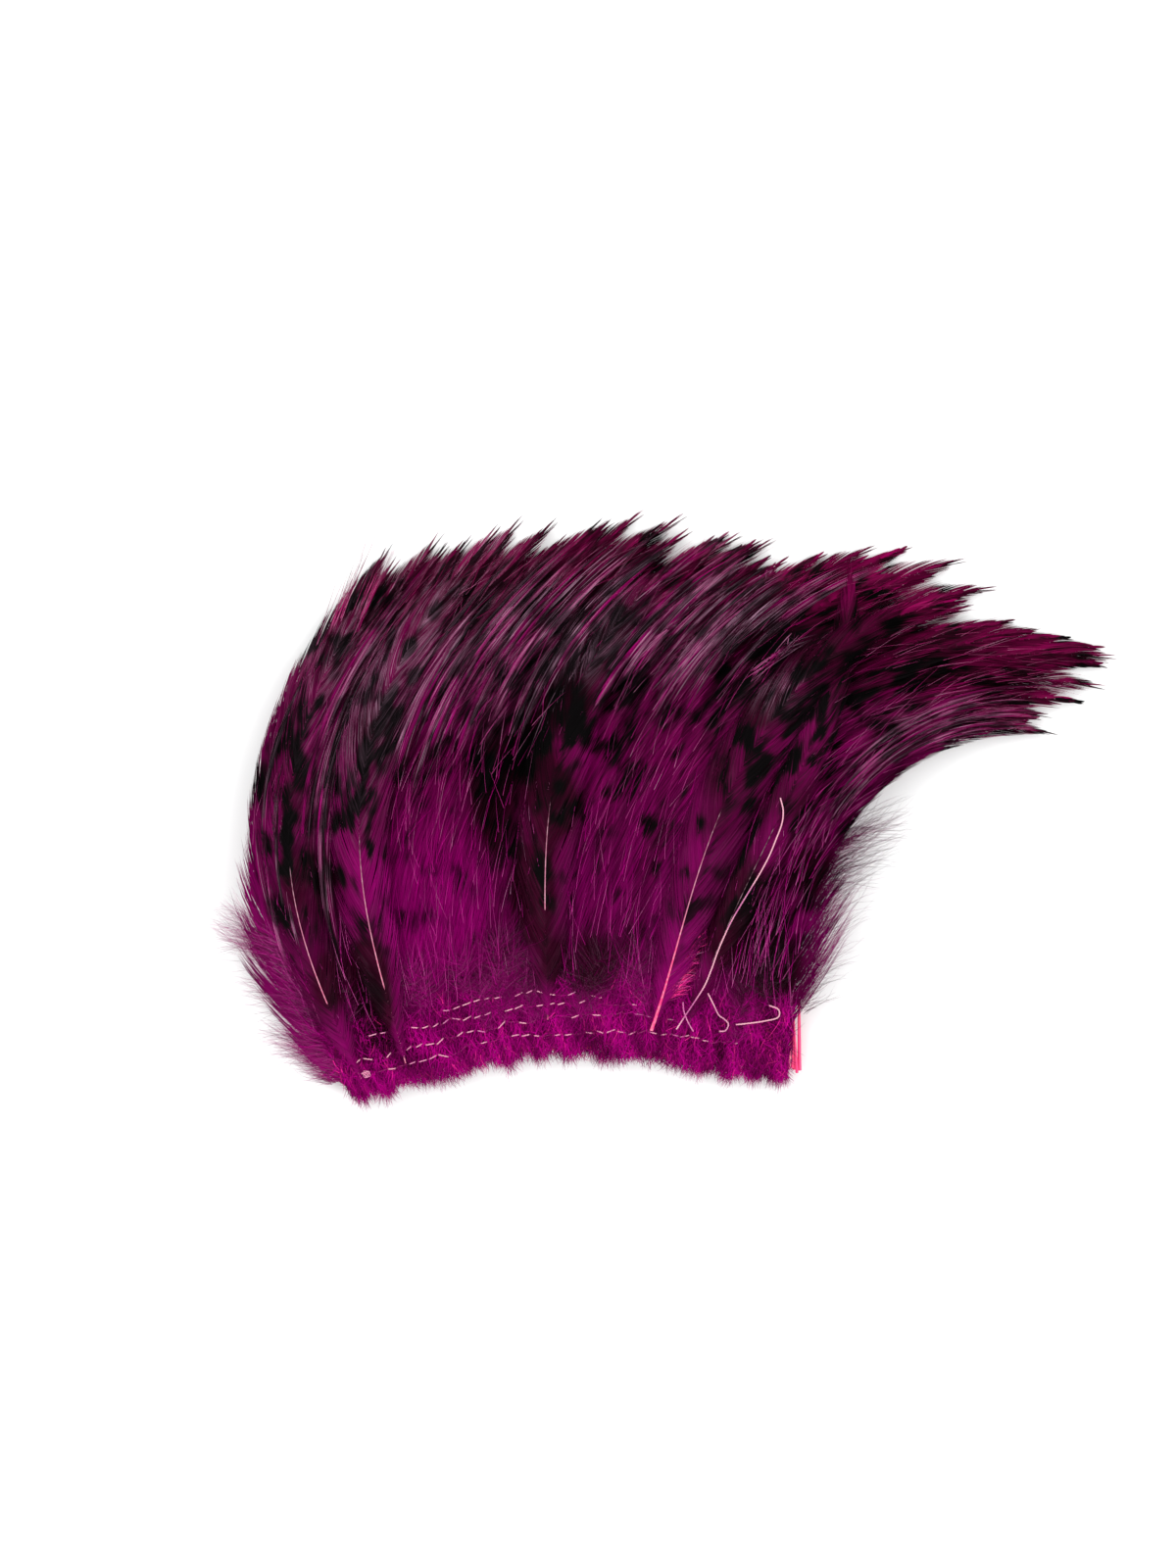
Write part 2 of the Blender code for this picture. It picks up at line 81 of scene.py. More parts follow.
# How far the tips reach, as shares of the sweep's length at places across the strip
TIP_ACROSS = (0.0, 0.12, 0.33, 0.38, 0.46, 0.54, 0.57, 0.63, 0.73, 0.76, 0.80, 0.83, 0.86, 0.90, 1.0)
TIP_REACH = (1.0, 1.04, 1.05, 1.0, 1.0, 0.93, 1.0, 1.05, 1.0, 1.07, 1.05, 0.98, 1.04, 0.95, 1.0)
FULL_LENGTH = (0, 3, 6, 8, 10, 13, 16, 18, 20, 22, 24, 27, 29, 30, 32, 33, 36, 39, 40)
STATIONS = (0.0, 0.04, 0.11, 0.20, 0.30, 0.40, 0.49, 0.58, 0.67, 0.76, 0.85, 0.93, 1.0)
WIDTHS = (0.30, 0.50, 0.62, 0.76, 0.88, 0.97, 1.00, 1.00, 0.96, 0.88, 0.74, 0.50, 0.10)


def left_of(heading: Array) -> Array:
    """Give unit vectors to the left of headings, seen from above."""
    return np.stack((-np.sin(heading), np.cos(heading)), axis=-1)


def raised(flat: Array, height: Array) -> Array:
    """Put heights to places seen from above."""
    return np.concatenate((flat, height[..., None]), axis=-1)


def travel_along(line: Array) -> Array:
    """Give how far along a line each of its points is."""
    return np.concatenate(([0.0], np.cumsum(np.linalg.norm(np.diff(line, axis=0), axis=1))))


def read_line(where: Array, travel: Array, line: Array) -> Array:
    """Give the places on a line seen from above at distances along it."""
    return np.stack([np.interp(where, travel, line[:, axis]) for axis in (0, 1)], axis=1)


def unit_run(line: Array) -> Array:
    """Give the unit vectors along a line at its points."""
    run = np.gradient(line, axis=0)
    return run / np.linalg.norm(run, axis=1)[:, None]


def ease(share: Array) -> Array:
    """Turn an even change from 0 to 1 into a smooth one."""
    return share * share * (3.0 - 2.0 * share)


def corners_of(name: str) -> Array:
    """Give the corners of a node of the frame."""
    return np.array([tuple(vertex.co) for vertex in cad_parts[name].data.vertices])


def draw(chance: Chance, count: object, middle: float, spread: float,
         low: float = 0.0, high: float = 1.0) -> Array:
    """Draw values around a middle one, kept between a low and a high one."""
    return np.clip(chance.normal(middle, spread, count), low, high)


def heading_along(quarters: Array, along: Array) -> Array:
    """Give a smooth heading through five headings a quarter of the length apart.

    Args:
        quarters: Five headings in degrees, from the quill end to the tip.
        along: Shares of the length.

    Returns:
        Headings in radians.
    """
    curve = np.polyfit(np.linspace(0.0, 1.0, 5), np.radians(quarters), 3)
    return np.polyval(curve, np.minimum(along, 1.05))


@dataclass
class Sweep:
    """The flow of the feathers over the strip, as a table of places."""

    margin: float = 0.25
    lines: int = 151
    steps: int = 121
    overrun: float = 1.2
    nudge: float = 0.004

    def __post_init__(self) -> None:
        """Work out the table from the guides."""
        self.across = np.linspace(-self.margin, 1.0 + self.margin, self.lines)
        self.along = np.linspace(0.0, self.overrun, self.steps)
        self.length = self.blend([guide.length * MM for guide in GUIDES])
        root_x = self.blend([guide.root_x * MM for guide in GUIDES])
        root_y = self.blend([guide.root_y * MM for guide in GUIDES])
        table = np.array([guide.headings for guide in GUIDES])
        quarters = np.stack([self.blend(table[:, column]) for column in range(5)], axis=1)
        self.heading = np.array([heading_along(row, self.along) for row in quarters])
        step = (self.along[1] - self.along[0]) * self.length[:, None]
        half = (self.heading[:, 1:] + self.heading[:, :-1]) / 2.0
        moves = np.stack((np.cos(half) * step, np.sin(half) * step), axis=2)
        start = np.stack((root_x, root_y), axis=1)[:, None, :]
        self.place = np.concatenate((start, start + np.cumsum(moves, axis=1)), axis=1)

    def blend(self, values: list) -> Array:
        """Spread the guides' values over and past the strip, with rounded corners.

        Args:
            values: One value for each guide.

        Returns:
            One value for each line of the sweep.
        """
        knots = [guide.share for guide in GUIDES]
        line = np.interp(self.across, knots, values)
        before = (values[1] - values[0]) / (knots[1] - knots[0])
        after = (values[-1] - values[-2]) / (knots[-1] - knots[-2])
        line += before * np.minimum(self.across, 0.0)
        line += after * np.maximum(self.across - 1.0, 0.0)
        reach = 9
        padded = np.pad(line, reach, mode="reflect", reflect_type="odd")
        window = np.hanning(2 * reach + 3)[1:-1]
        return np.convolve(padded, window / window.sum(), mode="valid")

    def length_at(self, across: Array) -> Array:
        """Give the length of a full feather at shares across."""
        return np.interp(across, self.across, self.length)

    def look_up(self, table: Array, across: Array, along: Array) -> Array:
        """Read a table of the sweep between its lines.

        Args:
            table: Values for each line and step.
            across: Shares across the strip.
            along: Shares along the feathers.

        Returns:
            The values there.
        """
        column = (across + self.margin) / (self.across[1] - self.across[0])
        row = along / (self.along[1] - self.along[0])
        i = np.clip(column.astype(int), 0, self.lines - 2)
        j = np.clip(row.astype(int), 0, self.steps - 2)
        a = column - i
        b = row - j
        if table.ndim == 3:
            a = a[..., None]
            b = b[..., None]
        low = table[i, j] * (1.0 - a) + table[i + 1, j] * a
        high = table[i, j + 1] * (1.0 - a) + table[i + 1, j + 1] * a
        return low * (1.0 - b) + high * b

    def find(self, points: Array, across: Array, along: Array) -> tuple:
        """Search with Newton's method for the shares across and along at points.

        Args:
            points: Places seen from above.
            across: First guess of the shares across.
            along: First guess of the shares along.

        Returns:
            The shares across and along, and the four slopes of those shares over x and y.
        """
        for _ in range(7):
            here = self.look_up(self.place, across, along)
            side = (self.look_up(self.place, across + self.nudge, along) - here) / self.nudge
            ahead = (self.look_up(self.place, across, along + self.nudge) - here) / self.nudge
            miss = points - here
            area = side[..., 0] * ahead[..., 1] - side[..., 1] * ahead[..., 0]
            across = across + (miss[..., 0] * ahead[..., 1] - miss[..., 1] * ahead[..., 0]) / area
            along = along + (side[..., 0] * miss[..., 1] - side[..., 1] * miss[..., 0]) / area
            across = np.clip(across, -self.margin, 1.0 + self.margin)
            along = np.clip(along, -0.05, self.overrun)
        slopes = (ahead[..., 1] / area, -ahead[..., 0] / area,
                  -side[..., 1] / area, side[..., 0] / area)
        return across, along, slopes


@dataclass
class Pile:
    """The pile that the feathers make: one leaf for each, a set height apart."""

    sweep: Sweep
    count: int = 41
    crowding: float = 0.12
    level_out: float = 0.05
    leaf_gap: float = 0.72 * MM
    band_level: float = 2.8 * MM
    tip_level: float = 0.90 * MM
    left_swell: float = 9.0 * MM
    right_swell: float = 5.0 * MM
    step_at: float = 0.37
    step_width: float = 0.035
    pile_at_band: float = 2.5
    pile_past_band: float = 3.5

    def crowd(self, share: Array) -> Array:
        """Set the feathers closer together at the left end than at the right end."""
        return share - self.crowding * np.sin(math.pi * share)

    def leaf_at(self, across: Array) -> Array:
        """Give the leaf whose feather runs through a place across the strip.

        Args:
            across: Shares across the strip.

        Returns:
            Numbers of leaves, with parts between them.
        """
        share = np.linspace(0.0, 1.0, 201)
        past = across - np.clip(across, 0.0, 1.0)
        run_out = self.level_out * np.tanh(past / self.level_out)
        return (np.interp(across, self.crowd(share), share) + run_out) * (self.count - 1)

    def top(self, across: Array, along: Array) -> Array:
        """Give the height of the top of the pile at shares of the sweep."""
        past = np.interp(along, (0.05, 0.25), (self.pile_at_band, self.pile_past_band))
        return self.swell(across, along) + self.leaf_gap * past

    def swell(self, across: Array, along: Array) -> Array:
        """Give the height of the middle of the pile above the surface it lies on.

        Args:
            across: Shares across the strip.
            along: Shares along the feathers.

        Returns:
            Heights.
        """
        share = np.clip(along, 0.0, 1.0)
        step = 1.0 / (1.0 + np.exp((across - self.step_at) / self.step_width))
        height = self.right_swell + (self.left_swell - self.right_swell) * step
        hump = np.sin(math.pi * share) ** 1.3
        return self.band_level + (self.tip_level - self.band_level) * ease(share) + height * hump

    def level(self, across: Array, along: Array, leaf: float, layer: float) -> Array:
        """Give the height of one leaf, or of a layer over the pile.

        Args:
            across: Shares across the strip.
            along: Shares along the feathers.
            leaf: Number of the leaf.
            layer: Number of the layer over the pile, or 0 for a leaf in it.

        Returns:
            Heights.
        """
        if layer:
            return self.top(across, along) + self.leaf_gap * layer
        return self.swell(across, along) + self.leaf_gap * (self.leaf_at(across) - leaf)

    def settle(self, points: Array, across: Array, along: Array,
               leaf: float, layer: float) -> tuple:
        """Lay points on a leaf.

        Args:
            points: Places seen from above.
            across: First guess of their shares across.
            along: First guess of their shares along.
            leaf: Number of the leaf.
            layer: Number of the layer over the pile, or 0 for a leaf in it.

        Returns:
            Heights, and the leaf's slopes over x and y.
        """
        across, along, slopes = self.sweep.find(points, across, along)
        height = self.level(across, along, leaf, layer)
        small = 0.002
        over = (self.level(across + small, along, leaf, layer) - height) / small
        up = (self.level(across, along + small, leaf, layer) - height) / small
        slope_x = over * slopes[0] + up * slopes[2]
        slope_y = over * slopes[1] + up * slopes[3]
        return height, slope_x, slope_y


# Painted shade across each ribbon: the left edge gains this much tone and the right edge loses it, so a
# flat ribbon looks round
PAINTED_EDGE_SHADE = 0.10
# Every piece of strands has this name with a number, and its mesh has the name of what it is
STRAND_PIECE = "dye"


class Mark(int, Enum):
    """What each value in a strand's marks says."""

    ALONG = 0
    # TONE: a random tone per barb, with painted shade in the crevices and across each ribbon
    TONE = 1
    SHADE = 2
    OUT = 3
    # DEPTH: how dark the dye is, with painted shadow along one streak
    DEPTH = 4
    # The next mark: how much painted greyish-lilac sheen a strand shows
    LILAC = 5
    DOWN = 6
    HEAT = 7


def mark_up(shape: tuple, **values: object) -> Array:
    """Fill in the marks of points.

    Args:
        shape: Shape of the points' array.
        **values: Values by the mark's name in lower case.

    Returns:
        The marks.
    """
    marks = np.zeros((*shape, len(Mark)))
    for name, value in values.items():
        marks[..., Mark[name.upper()]] = value
    return marks


@dataclass
class Strands:
    """Many thin ribbons as arrays: corners, triangles, a map of them and their marks."""

    corners: Array
    triangles: Array
    spots: Array
    marks: Array

    @staticmethod
    def of(centre: Array, half: Array, marks: Array) -> "Strands":
        """Make one ribbon for each row of points.

        Args:
            centre: Points along each ribbon, as ribbons by points by 3.
            half: Half the ribbon's width there as a vector to its left.
            marks: Eight values at each point for the finish to read.

        Returns:
            The ribbons, each narrowing to one corner at its tip.
        """
        rows, points = centre.shape[:2]
        both = np.stack((centre + half, centre - half), axis=2)
        corners = both.reshape(rows, points * 2, 3)[:, :-1]
        strip = []
        for k in range(points - 2):
            strip.append((2 * k, 2 * k + 1, 2 * k + 3))
            strip.append((2 * k, 2 * k + 3, 2 * k + 2))
        strip.append((2 * points - 4, 2 * points - 3, 2 * points - 2))
        each = points * 2 - 1
        triangles = np.array(strip)[None] + (np.arange(rows) * each)[:, None, None]
        u = np.repeat(np.linspace(0.0, 1.0, points), 2)[:-1]
        v = (np.arange(rows)[:, None] + np.tile((0.9, 0.1), points)[:-1][None]) / rows
        spots = np.stack((np.broadcast_to(u, v.shape), v), axis=2)
        doubled = np.repeat(marks, 2, axis=1)[:, :-1]
        # Painted shade: each ribbon lighter along its left edge, darker along its right
        doubled[..., Mark.TONE] += np.tile((PAINTED_EDGE_SHADE, -PAINTED_EDGE_SHADE), points)[:-1]
        return Strands(corners.reshape(-1, 3), triangles.reshape(-1, 3),
                       spots.reshape(-1, 2), doubled.reshape(-1, len(Mark)))

    @staticmethod
    def join(several: list, columns: int) -> "Strands":
        """Join sets of ribbons, each in a tile of its own on the map.

        Args:
            several: The sets.
            columns: How many tiles lie side by side.

        Returns:
            One set.
        """
        rows = math.ceil(len(several) / columns)
        corners, triangles, spots, marks = [], [], [], []
        count = 0
        for number, each in enumerate(several):
            tile = np.array((number % columns, number // columns))
            corners.append(each.corners)
            triangles.append(each.triangles + count)
            spots.append((each.spots * 0.98 + 0.01 + tile) / np.array((columns, rows)))
            marks.append(each.marks)
            count += len(each.corners)
        return Strands(np.concatenate(corners), np.concatenate(triangles),
                       np.concatenate(spots), np.concatenate(marks))

    def piece(self, name: str, finish: Material) -> Piece:
        """Make the ribbons an object.

        Args:
            name: Name of its mesh.
            finish: Its material.

        Returns:
            The object.
        """
        mesh = bpy.data.meshes.new(name)
        mesh.vertices.add(len(self.corners))
        mesh.vertices.foreach_set("co", self.corners.astype(np.float32).ravel())
        mesh.loops.add(self.triangles.size)
        mesh.loops.foreach_set("vertex_index", self.triangles.astype(np.int32).ravel())
        mesh.polygons.add(len(self.triangles))
        starts = np.arange(len(self.triangles), dtype=np.int32) * 3
        mesh.polygons.foreach_set("loop_start", starts)
        mesh.update(calc_edges=True)
        chart = mesh.uv_layers.new(name="OFBake")
        chart.uv.foreach_set("vector", self.spots[self.triangles.ravel()].astype(np.float32).ravel())
        # The second layer holds darkness (dye with some painted shadow), painted sheen, downiness and hot
        # pink
        for layer_name, first in (("marks", 0), ("dye", 4)):
            layer = mesh.attributes.new(layer_name, "FLOAT_COLOR", "POINT")
            values = self.marks[:, first:first + 4].astype(np.float32)
            layer.data.foreach_set("color", values.ravel())
        mesh.shade_smooth()
        mesh.materials.append(finish)
        thing = bpy.data.objects.new(STRAND_PIECE, mesh)
        bpy.context.scene.collection.objects.link(thing)
        return thing


class Wiring:
    """Short names for the shader nodes that the finishes share."""

    def __init__(self, name: str) -> None:
        """Start a material with its Principled shader.

        Args:
            name: Name of the material.
        """
        self.material = bpy.data.materials.new(name)
        self.material.use_nodes = True
        self.tree = self.material.node_tree
        self.shader = self.tree.nodes["Principled BSDF"]

    def feed(self, socket: Socket, value: object) -> None:
        """Link a socket to another, or set it to a value.

        Args:
            socket: The socket that takes the value.
            value: Another socket, or a plain value.
        """
        if isinstance(value, Socket):
            self.tree.links.new(value, socket)
        else:
            socket.default_value = value

    def add(self, kind: str, *values: object) -> bpy.types.Node:
        """Add a node and feed its first inputs.

        Args:
            kind: The node's type.
            *values: Sockets or plain values, in the order of its inputs.

        Returns:
            The node.
        """
        node = self.tree.nodes.new(kind)
        for socket, value in zip(node.inputs, values):
            self.feed(socket, value)
        return node

    def math(self, operation: str, *values: object) -> Socket:
        """Add a Math node.

        Args:
            operation: The node's operation.
            *values: Sockets or numbers.

        Returns:
            Its output.
        """
        node = self.add("ShaderNodeMath", *values)
        node.operation = operation
        return node.outputs[0]

    def times(self, first: object, second: object) -> Socket:
        """Multiply two numbers."""
        return self.math("MULTIPLY", first, second)

    def noise(self, place: Socket, scale: float, detail: float) -> Socket:
        """Add a Noise texture.

        Args:
            place: Where it is read.
            scale: How fine it is.
            detail: How many finer layers it has.

        Returns:
            Its value.
        """
        node = self.add("ShaderNodeTexNoise", place)
        node.inputs["Scale"].default_value = scale
        node.inputs["Detail"].default_value = detail
        return node.outputs["Fac"]

    def span(self, value: object, ramp: tuple) -> Socket:
        """Add a smooth Map Range node.

        Args:
            value: What it reads.
            ramp: Where it starts and ends, and what it gives before and after.

        Returns:
            Its result.
        """
        node = self.add("ShaderNodeMapRange", value, *ramp)
        node.interpolation_type = "SMOOTHSTEP"
        return node.outputs["Result"]

    def blend(self, share: object, first: object, second: object, how: str = "MIX") -> Socket:
        """Add a Mix node for colours.

        Args:
            share: How much of the second colour there is.
            first: The first colour.
            second: The second colour.
            how: The node's way of mixing.

        Returns:
            Its result.
        """
        node = self.tree.nodes.new("ShaderNodeMix")
        node.data_type = "RGBA"
        node.blend_type = how
        self.feed(node.inputs[0], share)
        self.feed(node.inputs[6], (*first, 1.0) if isinstance(first, tuple) else first)
        self.feed(node.inputs[7], (*second, 1.0) if isinstance(second, tuple) else second)
        return node.outputs[2]

    def dim(self, colour: object, strength: object) -> Socket:
        """Multiply a colour by a number.

        Args:
            colour: The colour.
            strength: The number.

        Returns:
            The colour, dimmed or brightened.
        """
        grey = self.add("ShaderNodeCombineColor", strength, strength, strength)
        return self.blend(1.0, colour, grey.outputs[0], "MULTIPLY")

    def place(self) -> Socket:
        """Give the piece's own coordinates."""
        return self.tree.nodes.new("ShaderNodeTexCoord").outputs["Object"]

    def marks(self, name: str) -> tuple:
        """Give four of a strand's marks.

        Args:
            name: Name of the attribute that holds them.

        Returns:
            Four sockets.
        """
        node = self.tree.nodes.new("ShaderNodeAttribute")
        node.attribute_name = name
        parts = self.add("ShaderNodeSeparateColor", node.outputs["Color"])
        return parts.outputs[0], parts.outputs[1], parts.outputs[2], node.outputs["Alpha"]

    def vector(self, *values: object) -> Socket:
        """Put three numbers together as a vector."""
        return self.add("ShaderNodeCombineXYZ", *values).outputs[0]

    def finish(self, colour: object, roughness: object) -> Material:
        """Feed the shader.

        Args:
            colour: The base colour.
            roughness: The roughness.

        Returns:
            The material.
        """
        self.feed(self.shader.inputs["Base Color"], colour)
        self.feed(self.shader.inputs["Roughness"], roughness)
        return self.material


@dataclass(frozen=True)
class BarbFinish:
    """Dyed barbs: bright where the bird's white took the dye, near black on the bars, with painted
    greyish-lilac sheen and painted groove shade on the combed strips.

    A ramp says where it starts and ends, and what it gives before and after.
    """

    name: str
    bright: tuple = (0.290, 0.0, 0.140)
    rich: tuple = (0.200, 0.0, 0.084)
    deep: tuple = (0.170, 0.0, 0.048)
    dusk: tuple = (0.028, 0.0, 0.009)
    bar: tuple = (0.0016, 0.0012, 0.0014)
    # Colour of the painted greyish-lilac sheen on the combed strips
    lilac: tuple = (0.620, 0.330, 0.490)
    hot: tuple = (0.80, 0.030, 0.22)
    bars_per_unit: float = 18.0
    rows_per_unit: float = 40.0
    drift: float = 0.55
    patch_scale: float = 140.0
    patch_weight: float = 0.85
    bars_near_base: tuple = (0.10, 0.75, -0.13, 0.015)
    bars_near_tip: tuple = (1.05, 1.25, 0.0, -0.06)
    bars_in_dark: float = 0.10
    bar_edge: tuple = (0.455, 0.695, 0.0, 1.0)
    bars_in_down: tuple = (0.2, 0.9, 1.0, 0.25)
    rich_from: tuple = (0.25, 0.72, 0.0, 1.0)
    deep_from: tuple = (0.70, 1.15, 0.0, 1.0)
    cloud_scale: float = 33.0
    clouded: tuple = (0.30, 0.62, 0.55, 1.35)
    blackened: tuple = (0.95, 1.5, 1.0, 0.30)
    toned: tuple = (0.0, 1.0, 0.30, 1.75)
    # Painted shade in the grooves between the combed strips, brighter on their lit outer edges; the next
    # two ramps say where it is painted
    painted_groove_shade: tuple = (0.62, 0.90, 0.10, 1.20)
    combed_by_lilac: tuple = (0.05, 0.5, 0.0, 1.0)
    groove_shade_near_tip: tuple = (0.45, 0.85, 0.0, 0.6)
    # The ramps below place the painted sheen: in streaks, on the strips' outer edges and off the bars
    streak_drift: float = 9.0
    streak_scale: float = 1.6
    sheen_streaks: tuple = (0.40, 0.66, 0.0, 1.0)
    sheen_at_edge: tuple = (0.62, 0.90, 0.1, 1.0)
    sheen_on_bar: tuple = (0.0, 1.0, 0.75, 0.22)
    roughness: tuple = (0.0, 1.0, 0.60, 0.44)
    specular: float = 0.022

    def make(self) -> Material:
        """Build the material.

        Returns:
            The material.
        """
        wire = Wiring(self.name)
        along, tone, shade, out = wire.marks("marks")
        depth, lilac, down, heat = wire.marks("dye")
        run = wire.times(along, self.bars_per_unit)
        row = wire.times(shade, self.rows_per_unit)
        blotch = wire.noise(wire.vector(run, row, wire.times(tone, self.drift)), 1.0, 1.0)
        bar = self.bars(wire, blotch, along, depth, down)
        base = self.dye(wire, along, depth, heat)
        # Tone dims or brightens the dye: random per barb, plus painted shade in crevices and across each
        # ribbon
        colour = wire.blend(bar, wire.dim(base, wire.span(tone, self.toned)), self.bar)
        # Painted groove shade on the combed strips and near the tips
        combed = wire.span(lilac, self.combed_by_lilac)
        combed = wire.math("MAXIMUM", combed, wire.span(along, self.groove_shade_near_tip))
        colour = wire.blend(combed, colour, wire.dim(colour, wire.span(out, self.painted_groove_shade)))
        # Painted greyish-lilac sheen in streaks on the strips' lit outer edges
        spot = wire.vector(run, row, wire.times(tone, self.streak_drift))
        streak = wire.noise(spot, self.streak_scale, 1.0)
        pale = wire.times(lilac, wire.span(streak, self.sheen_streaks))
        pale = wire.times(pale, wire.span(out, self.sheen_at_edge))
        pale = wire.times(pale, wire.span(bar, self.sheen_on_bar))
        wire.shader.inputs["Specular IOR Level"].default_value = self.specular
        return wire.finish(wire.blend(pale, colour, self.lilac), wire.span(tone, self.roughness))

    def bars(self, wire: Wiring, blotch: object, along: object, depth: object,
             down: object) -> Socket:
        """Work out where the dark bars are.

        Args:
            wire: The material's wiring.
            blotch: The noise that the bars come from.
            along: How far along the feather.
            depth: How dark the plumage is, painted shadow included.
            down: How downy the barb is.

        Returns:
            0 between the bars and 1 on them.
        """
        patch = wire.math("SUBTRACT", wire.noise(wire.place(), self.patch_scale, 1.0), 0.5)
        level = wire.math("ADD", blotch, wire.times(patch, self.patch_weight))
        for change in (wire.span(along, self.bars_near_base), wire.times(depth, self.bars_in_dark),
                       wire.span(along, self.bars_near_tip)):
            level = wire.math("ADD", level, change)
        return wire.times(wire.span(level, self.bar_edge), wire.span(down, self.bars_in_down))

    def dye(self, wire: Wiring, along: object, depth: object, heat: object) -> Socket:
        """Work out the dye's colour between the bars.

        Args:
            wire: The material's wiring.
            along: How far along the feather.
            depth: How dark the plumage is, painted shadow included.
            heat: How much hot pink there is.

        Returns:
            The colour.
        """
        base = wire.blend(wire.span(along, self.rich_from), self.bright, self.rich)
        base = wire.blend(wire.span(along, self.deep_from), base, self.deep)
        cloud = wire.noise(wire.place(), self.cloud_scale, 2.0)
        dusk = wire.times(depth, wire.span(cloud, self.clouded))
        base = wire.blend(wire.math("MINIMUM", dusk, 1.0), base, self.dusk)
        base = wire.dim(base, wire.span(depth, self.blackened))
        return wire.blend(wire.span(heat, (0.0, 1.0, 0.0, 1.0)), base, self.hot)


@dataclass(frozen=True)
class ShaftFinish:
    """Shafts: hot pink horn at the quill, then a pale line that darkens to the tip."""

    name: str
    quill: tuple = (0.90, 0.035, 0.20)
    pale: tuple = (0.55, 0.16, 0.27)
    dark: tuple = (0.030, 0.001, 0.014)
    gleam: tuple = (0.95, 0.60, 0.68)
    pale_from: tuple = (0.10, 0.28, 0.0, 1.0)
    dark_from: tuple = (0.30, 0.48, 0.0, 1.0)
    streak_scale: float = 900.0
    gleaming: tuple = (0.35, 0.75, 0.0, 0.35)
    roughness: tuple = (0.3, 0.7, 0.42, 0.58)
    specular: tuple = (0.2, 0.5, 0.35, 0.04)

    def make(self) -> Material:
        """Build the material.

        Returns:
            The material.
        """
        wire = Wiring(self.name)
        along = wire.marks("marks")[0]
        colour = wire.blend(wire.span(along, self.pale_from), self.quill, self.pale)
        colour = wire.blend(wire.span(along, self.dark_from), colour, self.dark)
        streak = wire.noise(wire.place(), self.streak_scale, 2.0)
        colour = wire.blend(wire.span(streak, self.gleaming), colour, self.gleam)
        wire.feed(wire.shader.inputs["Specular IOR Level"], wire.span(along, self.specular))
        return wire.finish(colour, wire.span(streak, self.roughness))


@dataclass(frozen=True)
class QuillFinish:
    """Translucent horn that took the pink dye, with pale painted highlight streaks along it."""

    name: str
    pink: tuple = (0.95, 0.045, 0.22)
    pale: tuple = (1.0, 0.42, 0.46)
    grain: tuple = (2200.0, 60.0, 2200.0)
    sheen_streaks: tuple = (0.5, 0.72, 0.0, 0.8)
    roughness: tuple = (0.3, 0.7, 0.22, 0.36)

    def make(self) -> Material:
        """Build the material.

        Returns:
            The material.
        """
        wire = Wiring(self.name)
        stretch = wire.add("ShaderNodeMapping", wire.place())
        stretch.inputs["Scale"].default_value = self.grain
        streak = wire.noise(stretch.outputs["Vector"], 1.0, 2.0)
        # Painted highlight streaks along the quill
        colour = wire.blend(wire.span(streak, self.sheen_streaks), self.pink, self.pale)
        return wire.finish(colour, wire.span(streak, self.roughness))


@dataclass(frozen=True)
class ThreadFinish:
    """Spun polyester thread, pale pink where the dye barely took."""

    name: str
    pale: tuple = (0.98, 0.36, 0.53)
    stained: tuple = (0.60, 0.06, 0.34)
    veiled: tuple = (0.26, 0.0, 0.11)
    lint: tuple = (0.95, 0.80, 0.85)
    stain_scale: float = 140.0
    lint_scale: float = 2600.0
    staining: tuple = (0.48, 0.68, 0.0, 0.9)
    linting: tuple = (0.4, 0.8, 0.0, 0.3)
    # Painted shade in the grooves between the thread's two plies
    painted_groove_shade: tuple = (0.0, 0.8, 0.50, 1.0)
    veiling: tuple = (0.15, 0.75, 0.0, 1.0)
    roughness: tuple = (0.3, 0.7, 0.60, 0.85)

    def make(self) -> Material:
        """Build the material.

        Returns:
            The material.
        """
        wire = Wiring(self.name)
        place = wire.place()
        stain = wire.noise(place, self.stain_scale, 2.0)
        lint = wire.noise(place, self.lint_scale, 2.0)
        tone, hidden = wire.marks("marks")[1:3]
        colour = wire.blend(wire.span(stain, self.staining), self.pale, self.stained)
        colour = wire.blend(wire.span(lint, self.linting), colour, self.lint)
        # Painted shade in the grooves between the plies, read from the tone
        colour = wire.dim(colour, wire.span(tone, self.painted_groove_shade))
        colour = wire.blend(wire.span(hidden, self.veiling), colour, self.veiled)
        return wire.finish(colour, wire.span(lint, self.roughness))


class Side(Enum):
    """The two vanes of a feather, seen from above with its tip away from the eye."""

    LEFT = 1.0
    RIGHT = -1.0


def rolling(chance: Chance, count: int, reach: int) -> Array:
    """Give smooth random values from about -1 to 1, each like its neighbours.

    Args:
        chance: Source of random numbers.
        count: How many values.
        reach: How many neighbours are alike.

    Returns:
        The values.
    """
    rough = chance.normal(size=count + 2 * reach)
    window = np.hanning(2 * reach + 3)[1:-1]
    smooth = np.convolve(rough, window / np.sqrt((window ** 2).sum()), mode="valid")
    return np.clip(smooth, -2.0, 2.0)[:count]


def walk(root: Array, turn: Array, length: Array) -> Array:
    """Follow headings from a place.

    Args:
        root: Where each strand starts, seen from above.
        turn: Headings at each point of the strands.
        length: Length of each strand.

    Returns:
        The points.
    """
    half = (turn[:, 1:] + turn[:, :-1]) / 2.0
    stride = (length / half.shape[1])[:, None, None]
    moves = np.stack((np.cos(half), np.sin(half)), axis=2) * stride
    return np.concatenate((root[:, None], root[:, None] + np.cumsum(moves, axis=1)), axis=1)


